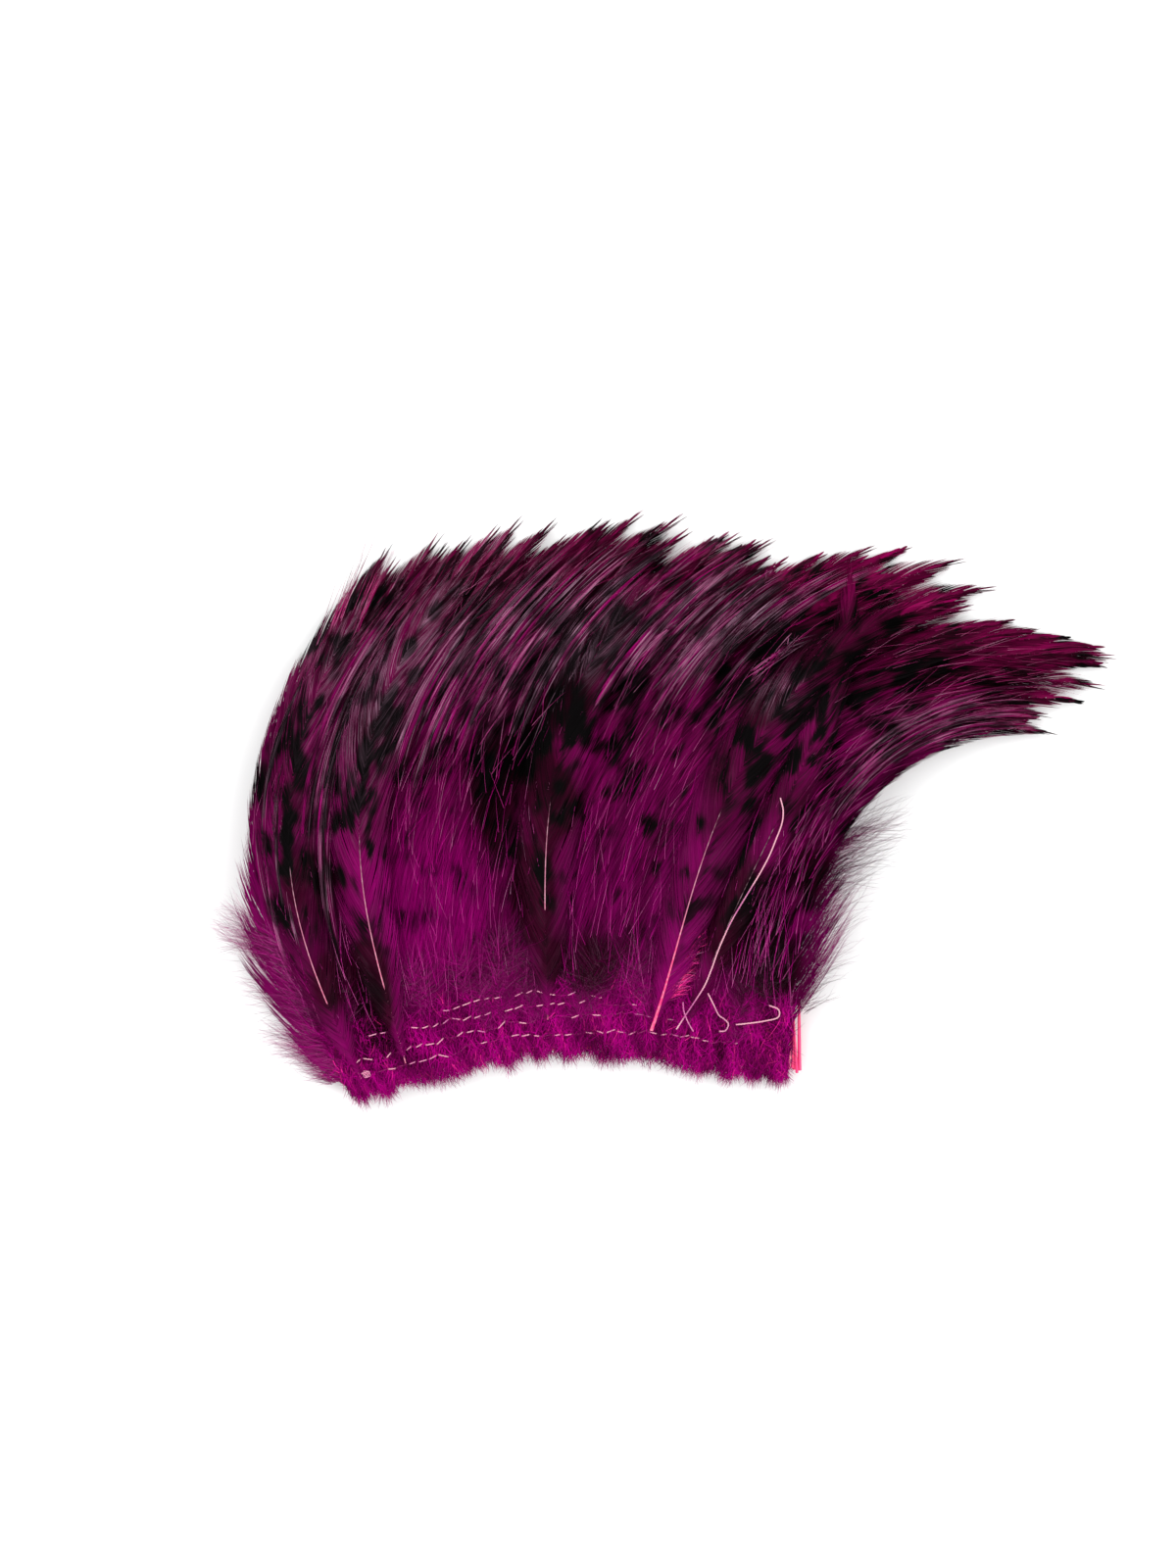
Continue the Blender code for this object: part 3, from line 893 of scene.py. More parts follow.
@dataclass(frozen=True)
class DyeShadeAndSheenGuide:
    """Where the plumage is darker or lighter, with painted shadow along one streak, and where it has a
    painted greyish sheen.

    Each patch is its middle x and y, half its width and height in millimetres, and its strength.
    """

    depth: float = 0.42
    # Patches of darker and lighter dye; the dark ones along the line from x -18, y 50 to x 3, y 80 mm paint
    # the shadow where the raised left group ends
    dye_and_shade_patches: tuple = (
        (-17.5, 50.0, 4.5, 10.0, 1.15), (-9.5, 62.0, 4.5, 8.0, 1.20), (-1.5, 71.0, 5.0, 6.5, 1.70),
        (-4.0, 50.0, 4.5, 9.0, 0.85), (-9.5, 29.0, 5.0, 9.0, 0.75), (3.0, 80.0, 5.0, 4.0, 0.60),
        (-43.5, 56.0, 6.0, 16.0, 0.55), (-60.0, 40.0, 4.5, 15.0, 0.40), (-60.0, 68.0, 3.5, 7.0, 0.35),
        (-43.5, 6.0, 4.5, 12.0, 1.30), (-51.5, 10.0, 4.0, 6.0, 0.45), (41.5, 18.0, 6.0, 12.0, 1.50),
        (50.0, 34.0, 5.0, 8.0, 1.05), (31.0, 54.0, 4.0, 10.0, 0.30), (69.0, 65.0, 6.0, 6.0, 0.50),
        (41.5, 70.0, 4.0, 4.0, 0.70), (41.5, 87.0, 4.0, 5.0, 0.55), (76.0, 78.0, 10.0, 5.0, 0.35),
        (-1.0, 12.0, 12.0, 7.0, 0.65), (16.0, 61.5, 3.5, 6.0, 0.25), (-30.5, 28.0, 9.0, 15.0, -1.00),
        (22.5, 19.0, 6.0, 9.0, -0.15), (24.0, 60.0, 5.0, 7.0, -0.30), (8.0, 1.0, 34.0, 4.0, -0.40),
        (-26.5, 70.0, 5.0, 7.0, -0.75), (54.0, 96.0, 12.0, 5.0, -0.75), (28.5, 70.0, 6.0, 5.0, -0.35),
        (84.0, 69.0, 8.0, 4.0, -0.40), (30.0, 105.0, 12.0, 4.0, -0.50), (-17.0, 106.0, 5.0, 4.0, -0.60),
        (7.5, 61.5, 3.5, 5.0, -0.35), (4.0, 88.0, 15.0, 9.0, 0.42), (-17.5, 64.0, 4.0, 9.0, 0.55),
        (50.0, 80.0, 9.0, 6.0, 0.25), (-52.0, 40.0, 4.0, 14.0, 0.35), (23.0, 95.0, 5.0, 5.0, -0.30),
    )
    # Patches of painted greyish sheen; the two negative ones keep it off the painted shadow streak
    sheen_patches: tuple = (
        (-20.0, 86.0, 30.0, 15.0, 1.35), (-48.0, 70.0, 9.0, 20.0, 0.50), (22.0, 87.0, 5.0, 6.0, 0.90),
        (44.0, 73.0, 5.0, 4.0, 0.80), (88.0, 65.5, 14.0, 4.5, 1.10), (-17.0, 106.0, 5.0, 3.5, 1.60),
        (30.0, 105.0, 10.0, 3.0, 0.60), (-1.0, 72.0, 5.0, 6.0, -0.90), (-9.0, 62.0, 5.0, 8.0, -0.50),
    )

    def total(self, points: Array, patches: tuple) -> Array:
        """Add up soft patches.

        Args:
            points: Places seen from above.
            patches: The patches.

        Returns:
            Their sum at each place.
        """
        total = np.zeros(points.shape[:-1])
        for x, y, wide, high, strength in patches:
            gap = ((points[..., 0] / MM - x) / wide) ** 2 + ((points[..., 1] / MM - y) / high) ** 2
            total += strength * np.exp(-gap)
        return total

    def depth_at(self, points: Array) -> Array:
        """Give how dark the plumage is at places seen from above, painted shadow included."""
        return self.depth + self.total(points, self.dye_and_shade_patches)

    def sheen_at(self, points: Array) -> Array:
        """Give how strong the painted greyish sheen is at places seen from above."""
        return np.maximum(0.03 + self.total(points, self.sheen_patches), 0.0)


@dataclass(frozen=True)
class BarbShape:
    """How barbs leave the shaft: tables of a share of the shaft and a value there."""

    at_shaft: tuple = ((0.0, 0.1, 0.3, 0.6, 0.9, 1.0), (46.0, 38.0, 29.0, 25.0, 18.0, 8.0))
    at_tip: tuple = ((0.0, 0.15, 0.35, 0.6, 1.0), (24.0, 14.0, 8.0, 5.0, 2.0))
    clumping: tuple = ((0.25, 0.6), (0.05, 0.4))
    edge_rise: tuple = ((0.25, 0.5, 0.9, 1.0), (0.15, 1.0, 1.0, 0.3))
    rough_tone: tuple = ((0.25, 0.6), (0.05, 0.11))
    # Painted shade in the crevice beside each visible strip, and painted light at its outer edge, as tone
    # by share out from the shaft
    painted_crevice: tuple = ((0.60, 0.74, 0.86, 1.0), (-0.50, -0.42, 0.05, 0.25))
    shaft_girth: tuple = ((0.0, 0.08, 0.25, 0.50, 1.0), (0.40, 0.24, 0.12, 0.08, 0.04))
    cover_dip: tuple = ((0.42, 0.52), (0.0, 0.5))
    downy_to: float = 0.36
    swing: float = 0.45 * MM
    shaft_clearance: float = 0.10 * MM
    vane_tilt: float = 0.03 * MM
    shortest: float = 1.6 * MM
    longest: float = 30.0 * MM
    darkest: float = 1.8


def read_table(share: Array, table: tuple) -> Array:
    """Read a table of shares and values between its rows."""
    return np.interp(share, *table)


@dataclass
class Feather:
    """One feather, from its quill end to its tip."""

    name: str
    across: float
    leaf: float
    half_width: float
    start: Array
    headings: Array
    length: float
    layer: float = 0.0
    barbs: int = 400
    shade: float = 0.5
    raised_edge: float = 0.55 * MM
    sink: float = 0.0
    bare_to: float = 0.10
    depth: float = 0.0
    # How strong the painted sheen is on this feather
    sheen_strength: float = 1.0
    dark_shaft: float = 0.0
    dye: DyeShadeAndSheenGuide = DyeShadeAndSheenGuide()
    barb: BarbShape = BarbShape()
    left: Array = field(init=False)
    right: Array = field(init=False)

    def __post_init__(self) -> None:
        """Run the shaft from its start along its headings."""
        self.fine = np.linspace(0.0, 1.0, 101)
        self.facing = heading_along(self.headings, self.fine)
        half = (self.facing[1:] + self.facing[:-1]) / 2.0
        moves = np.stack((np.cos(half), np.sin(half)), axis=1) * (self.length / 100.0)
        self.line = np.concatenate(([self.start], self.start + np.cumsum(moves, axis=0)))
        self.left = np.array(WIDTHS) * self.half_width
        self.right = self.left.copy()

    def on_shaft(self, share: Array) -> tuple:
        """Give places on the shaft, seen from above, and the headings there."""
        return read_line(share, self.fine, self.line), np.interp(share, self.fine, self.facing)

    def outline(self, side: Side) -> Array:
        """Give the vane's half widths at the stations."""
        return self.left if side is Side.LEFT else self.right

    def shaft(self, pile: Pile) -> Strands:
        """Make the shaft as a thin five-sided rod.

        Args:
            pile: The pile that the feather lies in.

        Returns:
            The rod.
        """
        share = np.concatenate((np.linspace(0.0, 0.2, 8), np.linspace(0.24, 0.985, 24)))
        place, facing = self.on_shaft(share)
        height = self.settle(pile, place, share)[0]
        shown = np.maximum(share, self.dark_shaft)
        girth = read_table(shown, self.barb.shaft_girth) * MM
        sides = 5
        angles = np.linspace(0.0, 2.0 * math.pi, sides, endpoint=False) + 0.3
        flat = place[:, None] + (girth[:, None] * np.cos(angles))[..., None] * left_of(facing)[:, None]
        dip = np.interp(share, (0.0, self.bare_to, self.bare_to + 0.03), (1.2, 1.2, 0.0)) * MM
        dip = dip + (read_table(share, self.barb.cover_dip) * MM if self.layer else 0.22 * MM)
        up = (height - dip)[:, None] + self.barb.shaft_clearance + girth[:, None] * np.sin(angles) * 0.8
        corners = raised(flat, up).reshape(-1, 3)
        triangles = []
        for k in range(len(share) - 1):
            for j in range(sides):
                a, b = k * sides + j, k * sides + (j + 1) % sides
                triangles.append((a, a + sides, b + sides))
                triangles.append((a, b + sides, b))
        spots = np.stack(np.meshgrid(np.linspace(0.0, 1.0, sides), share), axis=2).reshape(-1, 2)
        marks = mark_up((len(corners),), along=np.repeat(shown, sides), tone=0.5, shade=self.shade)
        return Strands(corners, np.array(triangles), spots, marks)

    def vane(self, side: Side, pile: Pile, chance: Chance) -> Strands:
        """Make one vane's barbs, each ending on the vane's outline.

        Args:
            side: Which vane.
            pile: The pile that the feather lies in.
            chance: Source of random numbers.

        Returns:
            The barbs.
        """
        full = side is Side.RIGHT or self.layer or self.leaf < 1.0
        count = int(self.barbs * (1.0 if full else 0.5))
        step = np.linspace(0.0, 1.0, 7)
        share = np.linspace(0.012, 0.985, count) + chance.normal(0.0, 0.001, count)
        share = np.clip(share, 0.004, 0.99)
        # The patches of painted sheen also mark where the barbs lie combed
        combed = np.clip(self.dye.sheen_at(self.on_shaft(share)[0]), 0.0, 1.0)
        spread, length = self.fan(side, share, combed, step, chance)
        ahead = np.cos(spread).mean(axis=1) * length
        passed = share[:, None] + ahead[:, None] * step[None] / self.length
        turn = np.interp(passed, self.fine, self.facing) + side.value * spread
        downy = np.clip(1.0 - share / self.barb.downy_to, 0.0, 1.0)[:, None]
        path = walk(self.on_shaft(share)[0], turn, length)
        pull = read_table(share, self.barb.clumping) * (1.0 - 0.5 * combed)
        path = self.clump(path, pull, step, chance)
        beside = left_of(turn)
        pace = chance.uniform(3.0, 8.0, (count, 1))
        swing = np.sin(step[None] * pace + chance.uniform(0.0, 6.3, (count, 1)))
        path = path + beside * (swing * downy * step[None] * self.barb.swing)[..., None]
        height, slope_x, slope_y = self.settle(pile, path, passed)
        height = height + self.rise(side, share, step)
        loft = chance.normal(0.0, 0.05, (count, 1)) + chance.uniform(-0.2, 0.5, (count, 1)) * downy
        height = height + loft * step[None] * MM
        half = beside * self.ribbon(spread, downy, step)[..., None]
        half_up = half[..., 0] * slope_x + half[..., 1] * slope_y + side.value * self.barb.vane_tilt
        stride = np.sin(spread) * length[:, None] / (len(step) - 1)
        sideways = np.concatenate((np.zeros((count, 1)), np.cumsum(stride, axis=1)[:, :-1]), axis=1)
        marks = self.colours(side, share, passed, path, sideways, downy, chance)
        return Strands.of(raised(path, height), raised(half, half_up), marks)

    def fan(self, side: Side, share: Array, combed: Array, step: Array,
            chance: Chance) -> tuple:
        """Turn the barbs away from the shaft and cut them to the vane's outline.

        Args:
            side: Which vane.
            share: Where on the shaft the barbs start.
            combed: How neatly they lie.
            step: Shares of the barb's length.
            chance: Source of random numbers.

        Returns:
            How far they turn from the shaft along their length, in radians, and their lengths.
        """
        count = len(share)
        first = read_table(share, self.barb.at_shaft)
        last = read_table(share, self.barb.at_tip)
        wobble = (rolling(chance, count, 5) * 2.0 + chance.normal(0.0, 1.2, count)) * (1.0 - 0.6 * combed)
        last = last * (1.0 - 0.5 * combed)
        turn_out = first[:, None] + wobble[:, None] + (last - first)[:, None] * step[None] ** 0.6
        spread = np.radians(turn_out)
        length = self.reach(side, share, spread)
        uneven = chance.normal(0.0, 0.06, count) + rolling(chance, count, 4) * 0.04
        length *= 1.0 + uneven * (1.0 - 0.6 * combed)
        return spread, length

    def rise(self, side: Side, share: Array, step: Array) -> Array:
        """Lift the right vane's edge over its neighbour, and sink a cover feather's edges.

        Args:
            side: Which vane.
            share: Where on the shaft the barbs start.
            step: Shares of the barb's length.

        Returns:
            How far each point moves up.
        """
        up = -self.sink * step[None] ** 1.5
        if side is Side.RIGHT:
            late = np.clip((step - 0.5) / 0.5, 0.0, 1.0)[None] ** 2 * self.raised_edge
            up = late * read_table(share, self.barb.edge_rise)[:, None] + up
        return up

    def ribbon(self, spread: Array, downy: Array, step: Array) -> Array:
        """Work out half the width of each barb along its length.

        Args:
            spread: How far the barbs turn from the shaft, in radians.
            downy: How downy they are.
            step: Shares of the barb's length.

        Returns:
            Half widths.
        """
        end_feather = self.leaf < 1.0
        packed = self.length / len(spread) * np.maximum(np.sin(spread), 0.17)
        packed = packed * (1.5 if end_feather else 0.86)
        thinned = 0.15 if end_feather and not self.layer else 0.55
        return packed * (1.0 - 0.9 * step[None] ** 4) * (1.0 - thinned * downy)

    def colours(self, side: Side, share: Array, passed: Array, path: Array,
                sideways: Array, downy: Array, chance: Chance) -> Array:
        """Mark the barbs for their finish.

        Args:
            side: Which vane.
            share: Where on the shaft the barbs start.
            passed: How far along the feather their points are.
            path: The points seen from above.
            sideways: How far the points are from the shaft.
            downy: How downy the barbs are.
            chance: Source of random numbers.

        Returns:
            The marks.
        """
        count = len(share)
        edge = np.interp(passed, STATIONS, self.outline(side))
        out = np.clip(sideways / np.maximum(edge, 0.8 * MM), 0.0, 1.0)
        open_vane = side is Side.LEFT or self.layer
        if open_vane:
            out = np.maximum(out, 0.8)
        rough = read_table(share, self.barb.rough_tone)
        tone = 0.5 + rough * (rolling(chance, count, 2) + chance.normal(0.0, 1.0, count))
        # Painted shade in the crevice beside each strip and painted light at its outer edge
        painted_crevice = 0.0 * out if open_vane else read_table(out, self.barb.painted_crevice)
        # How much painted greyish-lilac sheen each barb takes
        lilac = 0.5 + 0.3 * rolling(chance, count, 5) + 0.35 * chance.normal(size=count)
        lilac = np.clip(lilac, 0.0, 1.0)[:, None]
        ragged = chance.normal(0.0, 0.008, (count, 1))
        sheen_strength = self.dye.sheen_at(path)
        return mark_up(
            passed.shape, along=(share[:, None] * 0.4 + passed * 0.6) * self.length * 10.0 + ragged,
            tone=tone[:, None] + painted_crevice * np.clip(sheen_strength, 0.0, 1.0),
            shade=self.shade + side.value * 0.05 * sideways / self.half_width, out=out,
            depth=np.clip(self.depth + self.dye.depth_at(path), 0.0, self.barb.darkest),
            lilac=np.minimum(lilac * sheen_strength * self.sheen_strength, 1.0), down=downy)

    def reach(self, side: Side, share: Array, spread: Array) -> Array:
        """Work out how long each barb is, so that it ends on the vane's outline.

        Args:
            side: Which vane.
            share: Where on the shaft the barbs start.
            spread: How far they turn from the shaft, in radians, along their length.

        Returns:
            Their lengths.
        """
        outline = self.outline(side)
        out = np.maximum(np.sin(spread).mean(axis=1), 0.12)
        ahead = np.cos(spread).mean(axis=1)
        length = np.interp(share, STATIONS, outline) / out
        for _ in range(14):
            tip = np.minimum(share + ahead * length / self.length, 1.0)
            length = 0.6 * length + 0.4 * np.interp(tip, STATIONS, outline) / out
        return np.clip(length, self.barb.shortest, self.barb.longest)

    def settle(self, pile: Pile, path: Array, passed: Array) -> tuple:
        """Lay points on this feather's leaf.

        Args:
            pile: The pile that the feather lies in.
            path: The points seen from above.
            passed: About how far along the feather they are.

        Returns:
            Heights, and the leaf's slopes over x and y.
        """
        guess = passed * self.length / float(pile.sweep.length_at(self.across))
        return pile.settle(path, np.full(guess.shape, self.across), guess, self.leaf, self.layer)

    def clump(self, path: Array, pull: Array, step: Array,
              chance: Chance) -> Array:
        """Draw neighbouring barbs together towards their tips, as barbules do.

        Args:
            path: Points along each barb.
            pull: How strongly each barb is drawn.
            step: Shares of the barb's length.
            chance: Source of random numbers.

        Returns:
            The points, moved.
        """
        count = len(path)
        ends = np.cumsum(chance.integers(4, 12, count))
        group = np.searchsorted(ends[ends < count], np.arange(count), side="right")
        tips = path[:, -1]
        size = np.bincount(group)
        middle = np.stack([np.bincount(group, tips[:, axis]) / size for axis in (0, 1)], axis=1)
        strength = pull[:, None] * step[None] ** 2.2
        return path + (middle[group] - tips)[:, None] * strength[..., None]


@dataclass(frozen=True)
class Cover:
    """A feather on top of the pile: its place, form, and how much of its shaft shows.

    The rise up the band, the length and half the width are in millimetres, and the headings
    in degrees. The shaft is pale up to where it is dark, and bare up to where barbs cover it.
    """

    across: float
    rise: float
    headings: tuple
    length: float
    layer: float
    half_width: float
    depth: float
    dark_shaft: float
    bare_to: float


@dataclass
class Plumage:
    """All the feathers of the strip."""

    pile: Pile
    half_width: float = 7.0 * MM
    last_half_width: float = 5.0 * MM
    narrower_from: float = 0.6
    plan_seed: int = 4
    fill_seed: int = 11
    barb_seed: int = 7
    fill_per_piece: int = 16
    left_down: tuple = (0.0, 1.3, 2.6, 3.9, 4.55, 1.3, 0.0, 0.0, 0.0, 0.0, 0.0, 0.0, 0.0)
    right_down: tuple = (0.0, 0.0, 0.7, 6.72, 8.12, 3.5, 0.0, 0.0, 0.0, 0.0, 0.0, 0.0, 0.0)
    cover_barbs: int = 430
    cover_sink: float = 0.55 * MM
    cover_base: tuple = (0.9, 1.0, 3.2)
    plans: tuple = (
        Cover(0.035, 3.0, (113.0, 108.0, 92.0, 72.0, 62.0), 108.0, 1.0, 6.0, 0.15, 0.22, 0.14),
        Cover(0.155, 4.0, (104.0, 101.0, 88.0, 66.0, 50.0), 112.0, 2.0, 6.5, 0.0, 0.22, 0.12),
        Cover(0.455, 7.0, (91.0, 89.0, 82.0, 62.0, 40.0), 104.0, 1.0, 7.0, 0.05, 0.22, 0.19),
        Cover(0.665, 6.0, (71.0, 73.0, 66.0, 46.0, 28.0), 110.0, 2.0, 7.0, 0.18, 0.0, -1.0),
        Cover(0.740, 9.0, (72.0, 67.0, 63.0, 74.0, 90.0), 105.0, 1.0, 4.5, 0.35, 0.6, 0.1),
    )
    shingle: list = field(default_factory=list)
    covers: list = field(default_factory=list)
    fill: list = field(default_factory=list)

    def width_at(self, across: float) -> float:
        """Give half the width of a feather by its place across the strip."""
        return float(np.interp(across, (self.narrower_from, 1.0), (self.half_width, self.last_half_width)))

    def swept(self, across: float, lean: float, reach: float) -> tuple:
        """Follow the sweep with a feather.

        Args:
            across: Its place across the strip.
            lean: How far its tip turns from the sweep, in degrees.
            reach: Its length as a share of a full feather's.

        Returns:
            Its start, its headings and its length.
        """
        sweep = self.pile.sweep
        here = np.array([across])
        reach *= float(np.interp(across, TIP_ACROSS, TIP_REACH))
        quarters = [float(np.degrees(sweep.look_up(sweep.heading, here, np.array([share * reach]))[0]))
                    for share in (0.0, 0.25, 0.5, 0.75, 1.0)]
        headings = np.array(quarters) + lean * np.array((0.0, 0.2, 0.5, 0.8, 1.0))
        length = float(sweep.length_at(across)) * reach
        start = sweep.look_up(sweep.place, here, np.array([0.0]))[0]
        return start, headings, length

    def plan(self) -> None:
        """Lay out the shingled feathers as the solids are, and those between them."""
        chance = np.random.default_rng(self.plan_seed)
        extra = np.random.default_rng(self.fill_seed)
        count = self.pile.count
        for index in range(count):
            across = float(self.pile.crowd(np.array(index / (count - 1))))
            lean = chance.uniform(-2.5, 1.5)
            shorter = chance.uniform(0.90, 0.99)
            reach = 1.0 if index in FULL_LENGTH else shorter
            start, headings, length = self.swept(across, lean, reach)
            leaf = float(self.pile.leaf_at(np.array(across)))
            self.shingle.append(Feather(
                f"feather_{index + 1:02d}", across, leaf, self.width_at(across), start, headings,
                length, shade=across + float(extra.uniform(-0.03, 0.03)),
                depth=float(extra.uniform(-0.15, 0.15)), sheen_strength=float(extra.uniform(0.4, 1.3))))
        self.spread_down()
        for number in range(2 * (count - 1)):
            self.add_fill(number, extra)

    def add_fill(self, number: int, extra: Chance) -> None:
        """Lay out a feather inside the pile: a strip, a low one or a high one.

        Args:
            number: Its number.
            extra: Source of random numbers.
        """
        count = self.pile.count
        combed = number < count
        strip = combed and number % 2 == 0
        between = number / 2.0 + (extra.uniform(0.42, 0.58) if strip else extra.uniform(0.15, 0.35))
        across = float(self.pile.crowd(np.array(between / (count - 1))))
        low, high = (0.50, 0.64) if combed and not strip else (0.92, 0.995)
        lean = extra.uniform(-1.2, 1.2) if strip else extra.uniform(-4.0, 4.0)
        start, headings, length = self.swept(across, lean, extra.uniform(low, high))
        self.fill.append(Feather(
            f"fill_{number + 1:02d}", across, between, self.width_at(across) * (1.0 if strip else 0.72),
            start, headings, length, barbs=290 if strip else 130,
            shade=across + float(extra.uniform(-0.03, 0.03)), raised_edge=0.3 * MM,
            depth=float(extra.uniform(-0.15, 0.20)), sheen_strength=float(extra.uniform(0.4, 1.3))))

    def spread_down(self) -> None:
        """Widen the downy bases at the two ends of the strip, as the solids are."""
        for feather, share in ((self.shingle[0], 1.0), (self.shingle[1], 0.6)):
            feather.left += np.array(self.left_down) * MM * share
        for feather, share in ((self.shingle[-1], 1.0), (self.shingle[-2], 0.6)):
            feather.right += np.array(self.right_down) * MM * share
        self.shingle[0].left[6:] *= 0.7
        self.shingle[-1].right[6:] *= 0.6
        self.shingle[-1].right[:3] = 1.2 * MM

    def plan_covers(self) -> None:
        """Lay out the feathers whose shafts show on top of the pile."""
        sweep = self.pile.sweep
        for number, plan in enumerate(self.plans, start=1):
            along = plan.rise * MM / float(sweep.length_at(plan.across))
            start = sweep.look_up(sweep.place, np.array([plan.across]), np.array([along]))[0]
            cover = Feather(
                f"cover_feather_{number}", plan.across, 0.0, plan.half_width * MM, start,
                np.array(plan.headings), plan.length * MM, layer=plan.layer, shade=plan.across,
                raised_edge=0.0, barbs=self.cover_barbs, depth=plan.depth, bare_to=plan.bare_to,
                dark_shaft=plan.dark_shaft,
                sink=self.cover_sink + 0.5 * self.pile.leaf_gap * (plan.layer - 1.0))
            cover.left[:3] = np.array(self.cover_base) * MM
            cover.right[:3] = cover.left[:3]
            self.covers.append(cover)

    def build(self) -> list:
        """Make every feather's piece.

        Returns:
            Pairs of a piece and the nodes that it stands for.
        """
        self.plan()
        self.plan_covers()
        barbs = BarbFinish("dyed barred barbs").make()
        shafts = ShaftFinish("dyed shafts").make()
        chance = np.random.default_rng(self.barb_seed)
        made = []
        rods = []
        for feather in self.shingle + self.covers:
            vanes = [feather.vane(side, self.pile, chance) for side in Side]
            piece = Strands.join(vanes, 2).piece(f"{feather.name}_barbs", barbs)
            rods.append(feather.shaft(self.pile))
            made.append((piece, [feather.name]))
        for first in range(0, len(self.fill), self.fill_per_piece):
            vanes = []
            for feather in self.fill[first:first + self.fill_per_piece]:
                vanes += [feather.vane(side, self.pile, chance) for side in Side]
                rods.append(feather.shaft(self.pile))
            number = first // self.fill_per_piece + 1
            made.append((Strands.join(vanes, 4).piece(f"inner_feathers_{number}", barbs), []))
        made.append((Strands.join(rods, 10).piece("feather_shafts", shafts), []))
        return made


class PlumePlan(NamedTuple):
    """Long down at one end: its side, share of the shaft, degrees, millimetres, count and darkness."""

    side: Side
    span: tuple
    turn: tuple
    reach: tuple
    count: int
    dark: float


class LockPlan(NamedTuple):
    """A group of locks: their number, shares of the sweep, strength of painted sheen and darkness.

    The last value says how much later they start for each share across.
    """

    number: int
    places: tuple
    starts: tuple
    spans: tuple
    sheen_strength: float
    depth: float
    later: float = 0.0


@dataclass
class Down:
    """Fluff: short hairs over the band, a fringe along its edge, and plumes at both ends."""

    pile: Pile
    first: Feather
    last: Feather
    cover: Feather
    guide: DyeShadeAndSheenGuide = DyeShadeAndSheenGuide()
    seed: int = 31
    fuzz_count: int = 11000
    ruff_count: int = 6200
    ruff_bases: int = 30
    fringe_count: int = 6500
    flyaway_count: int = 1700
    stray_count: int = 34
    tuft_count: int = 700
    fuzz_half: float = 0.075 * MM
    ruff_half: float = 0.038 * MM
    fringe_half: float = 0.065 * MM
    plume_half: float = 0.042 * MM
    tuft_half: float = 0.09 * MM
    flyaway_half: float = 0.030 * MM
    stray_half: float = 0.055 * MM
    lock_half: float = 0.068 * MM
    lowest: float = 0.04 * MM
    left_plume: PlumePlan = PlumePlan(Side.LEFT, (0.03, 0.30), (44.0, 40.0), (6.0, 15.0, 17.0), 2900, 0.15)
    right_plume: PlumePlan = PlumePlan(Side.RIGHT, (0.12, 0.50), (50.0, 26.0), (8.0, 18.0, 20.0), 760, 0.75)
    lock_barbs: int = 13
    lock_width: tuple = (0.006, 0.012)
    # Painted shade across each lock: darkest along the side where it meets the next lock
    lock_painted_shade: tuple = ((0.0, 0.25, 0.6, 1.0), (0.04, 0.18, 0.50, 0.62))
    lock_plans: tuple = (
        LockPlan(112, (0.04, 0.60), (0.38, 0.66), (0.24, 0.40), 1.10, 0.0, 0.30),
        LockPlan(22, (-0.015, 0.09), (0.16, 0.42), (0.25, 0.42), 0.70, 0.05),
        LockPlan(28, (0.86, 1.01), (0.48, 0.72), (0.24, 0.40), 0.90, -0.05),
        LockPlan(8, (0.965, 1.02), (0.66, 0.74), (0.18, 0.28), 2.60, -0.6),
        LockPlan(3, (0.465, 0.485), (0.64, 0.66), (0.15, 0.18), 2.60, -0.8),
        LockPlan(3, (0.520, 0.540), (0.60, 0.63), (0.12, 0.15), 2.00, -0.5),
        LockPlan(3, (0.610, 0.630), (0.64, 0.67), (0.09, 0.13), 2.00, -0.5),
    )

    def hairs(self, root: Array, level: Array, heading: Array, length: Array,
              curl: Array, lift: Array, half_width: float, points: int,
              chance: Chance, **marks: object) -> Strands:
        """Make fine curling hairs.

        Args:
            root: Where they start, seen from above.
            level: Heights there.
            heading: Headings there, in radians.
            length: Lengths.
            curl: How far they turn on their way, in radians.
            lift: How far they rise on their way.
            half_width: Half their width at the root.
            points: How many points each has.
            chance: Source of random numbers.
            **marks: Their marks, one for each hair.

        Returns:
            The hairs.
        """
        count = len(root)
        step = np.linspace(0.0, 1.0, points)[None]
        wave = chance.uniform(0.1, 0.5, (count, 1)) * np.sin(
            step * chance.uniform(3.0, 9.0, (count, 1)) + chance.uniform(0.0, 6.3, (count, 1)))
        turn = heading[:, None] + curl[:, None] * step ** 1.3 + wave
        path = walk(root, turn, length)
        height = level[:, None] + lift[:, None] * step + 0.08 * MM * np.sin(step * 9.0 + turn)
        height = np.maximum(height, self.lowest)
        half = left_of(turn) * (half_width * (1.0 - 0.85 * step))[..., None]
        tip_up = np.broadcast_to(chance.uniform(-0.5, 0.5, (count, 1)) * half_width, turn.shape)
        columns = {name: np.asarray(value)[..., None] for name, value in marks.items()}
        table = mark_up(turn.shape, out=0.9, **columns)
        return Strands.of(raised(path, height), raised(half, tip_up), table)

    def on_band(self, across: Array, rise: Array) -> tuple:
        """Find places on the band.

        Args:
            across: Shares across the strip.
            rise: How far up the band they are.

        Returns:
            The places seen from above, the flow's headings and the heights of the pile's top.
        """
        sweep = self.pile.sweep
        along = np.maximum(rise / sweep.length_at(across), 0.0)
        place = sweep.look_up(sweep.place, across, along)
        heading = sweep.look_up(sweep.heading, across, along)
        past = np.minimum(rise, 0.0)[:, None]
        place = place + np.stack((np.cos(heading), np.sin(heading)), axis=1) * past
        return place, heading, self.pile.top(across, along)

    def band_top(self, across: float, rise: float) -> float:
        """Give the height of the band's top at one place."""
        return float(self.on_band(np.array([across]), np.array([rise]))[2][0])

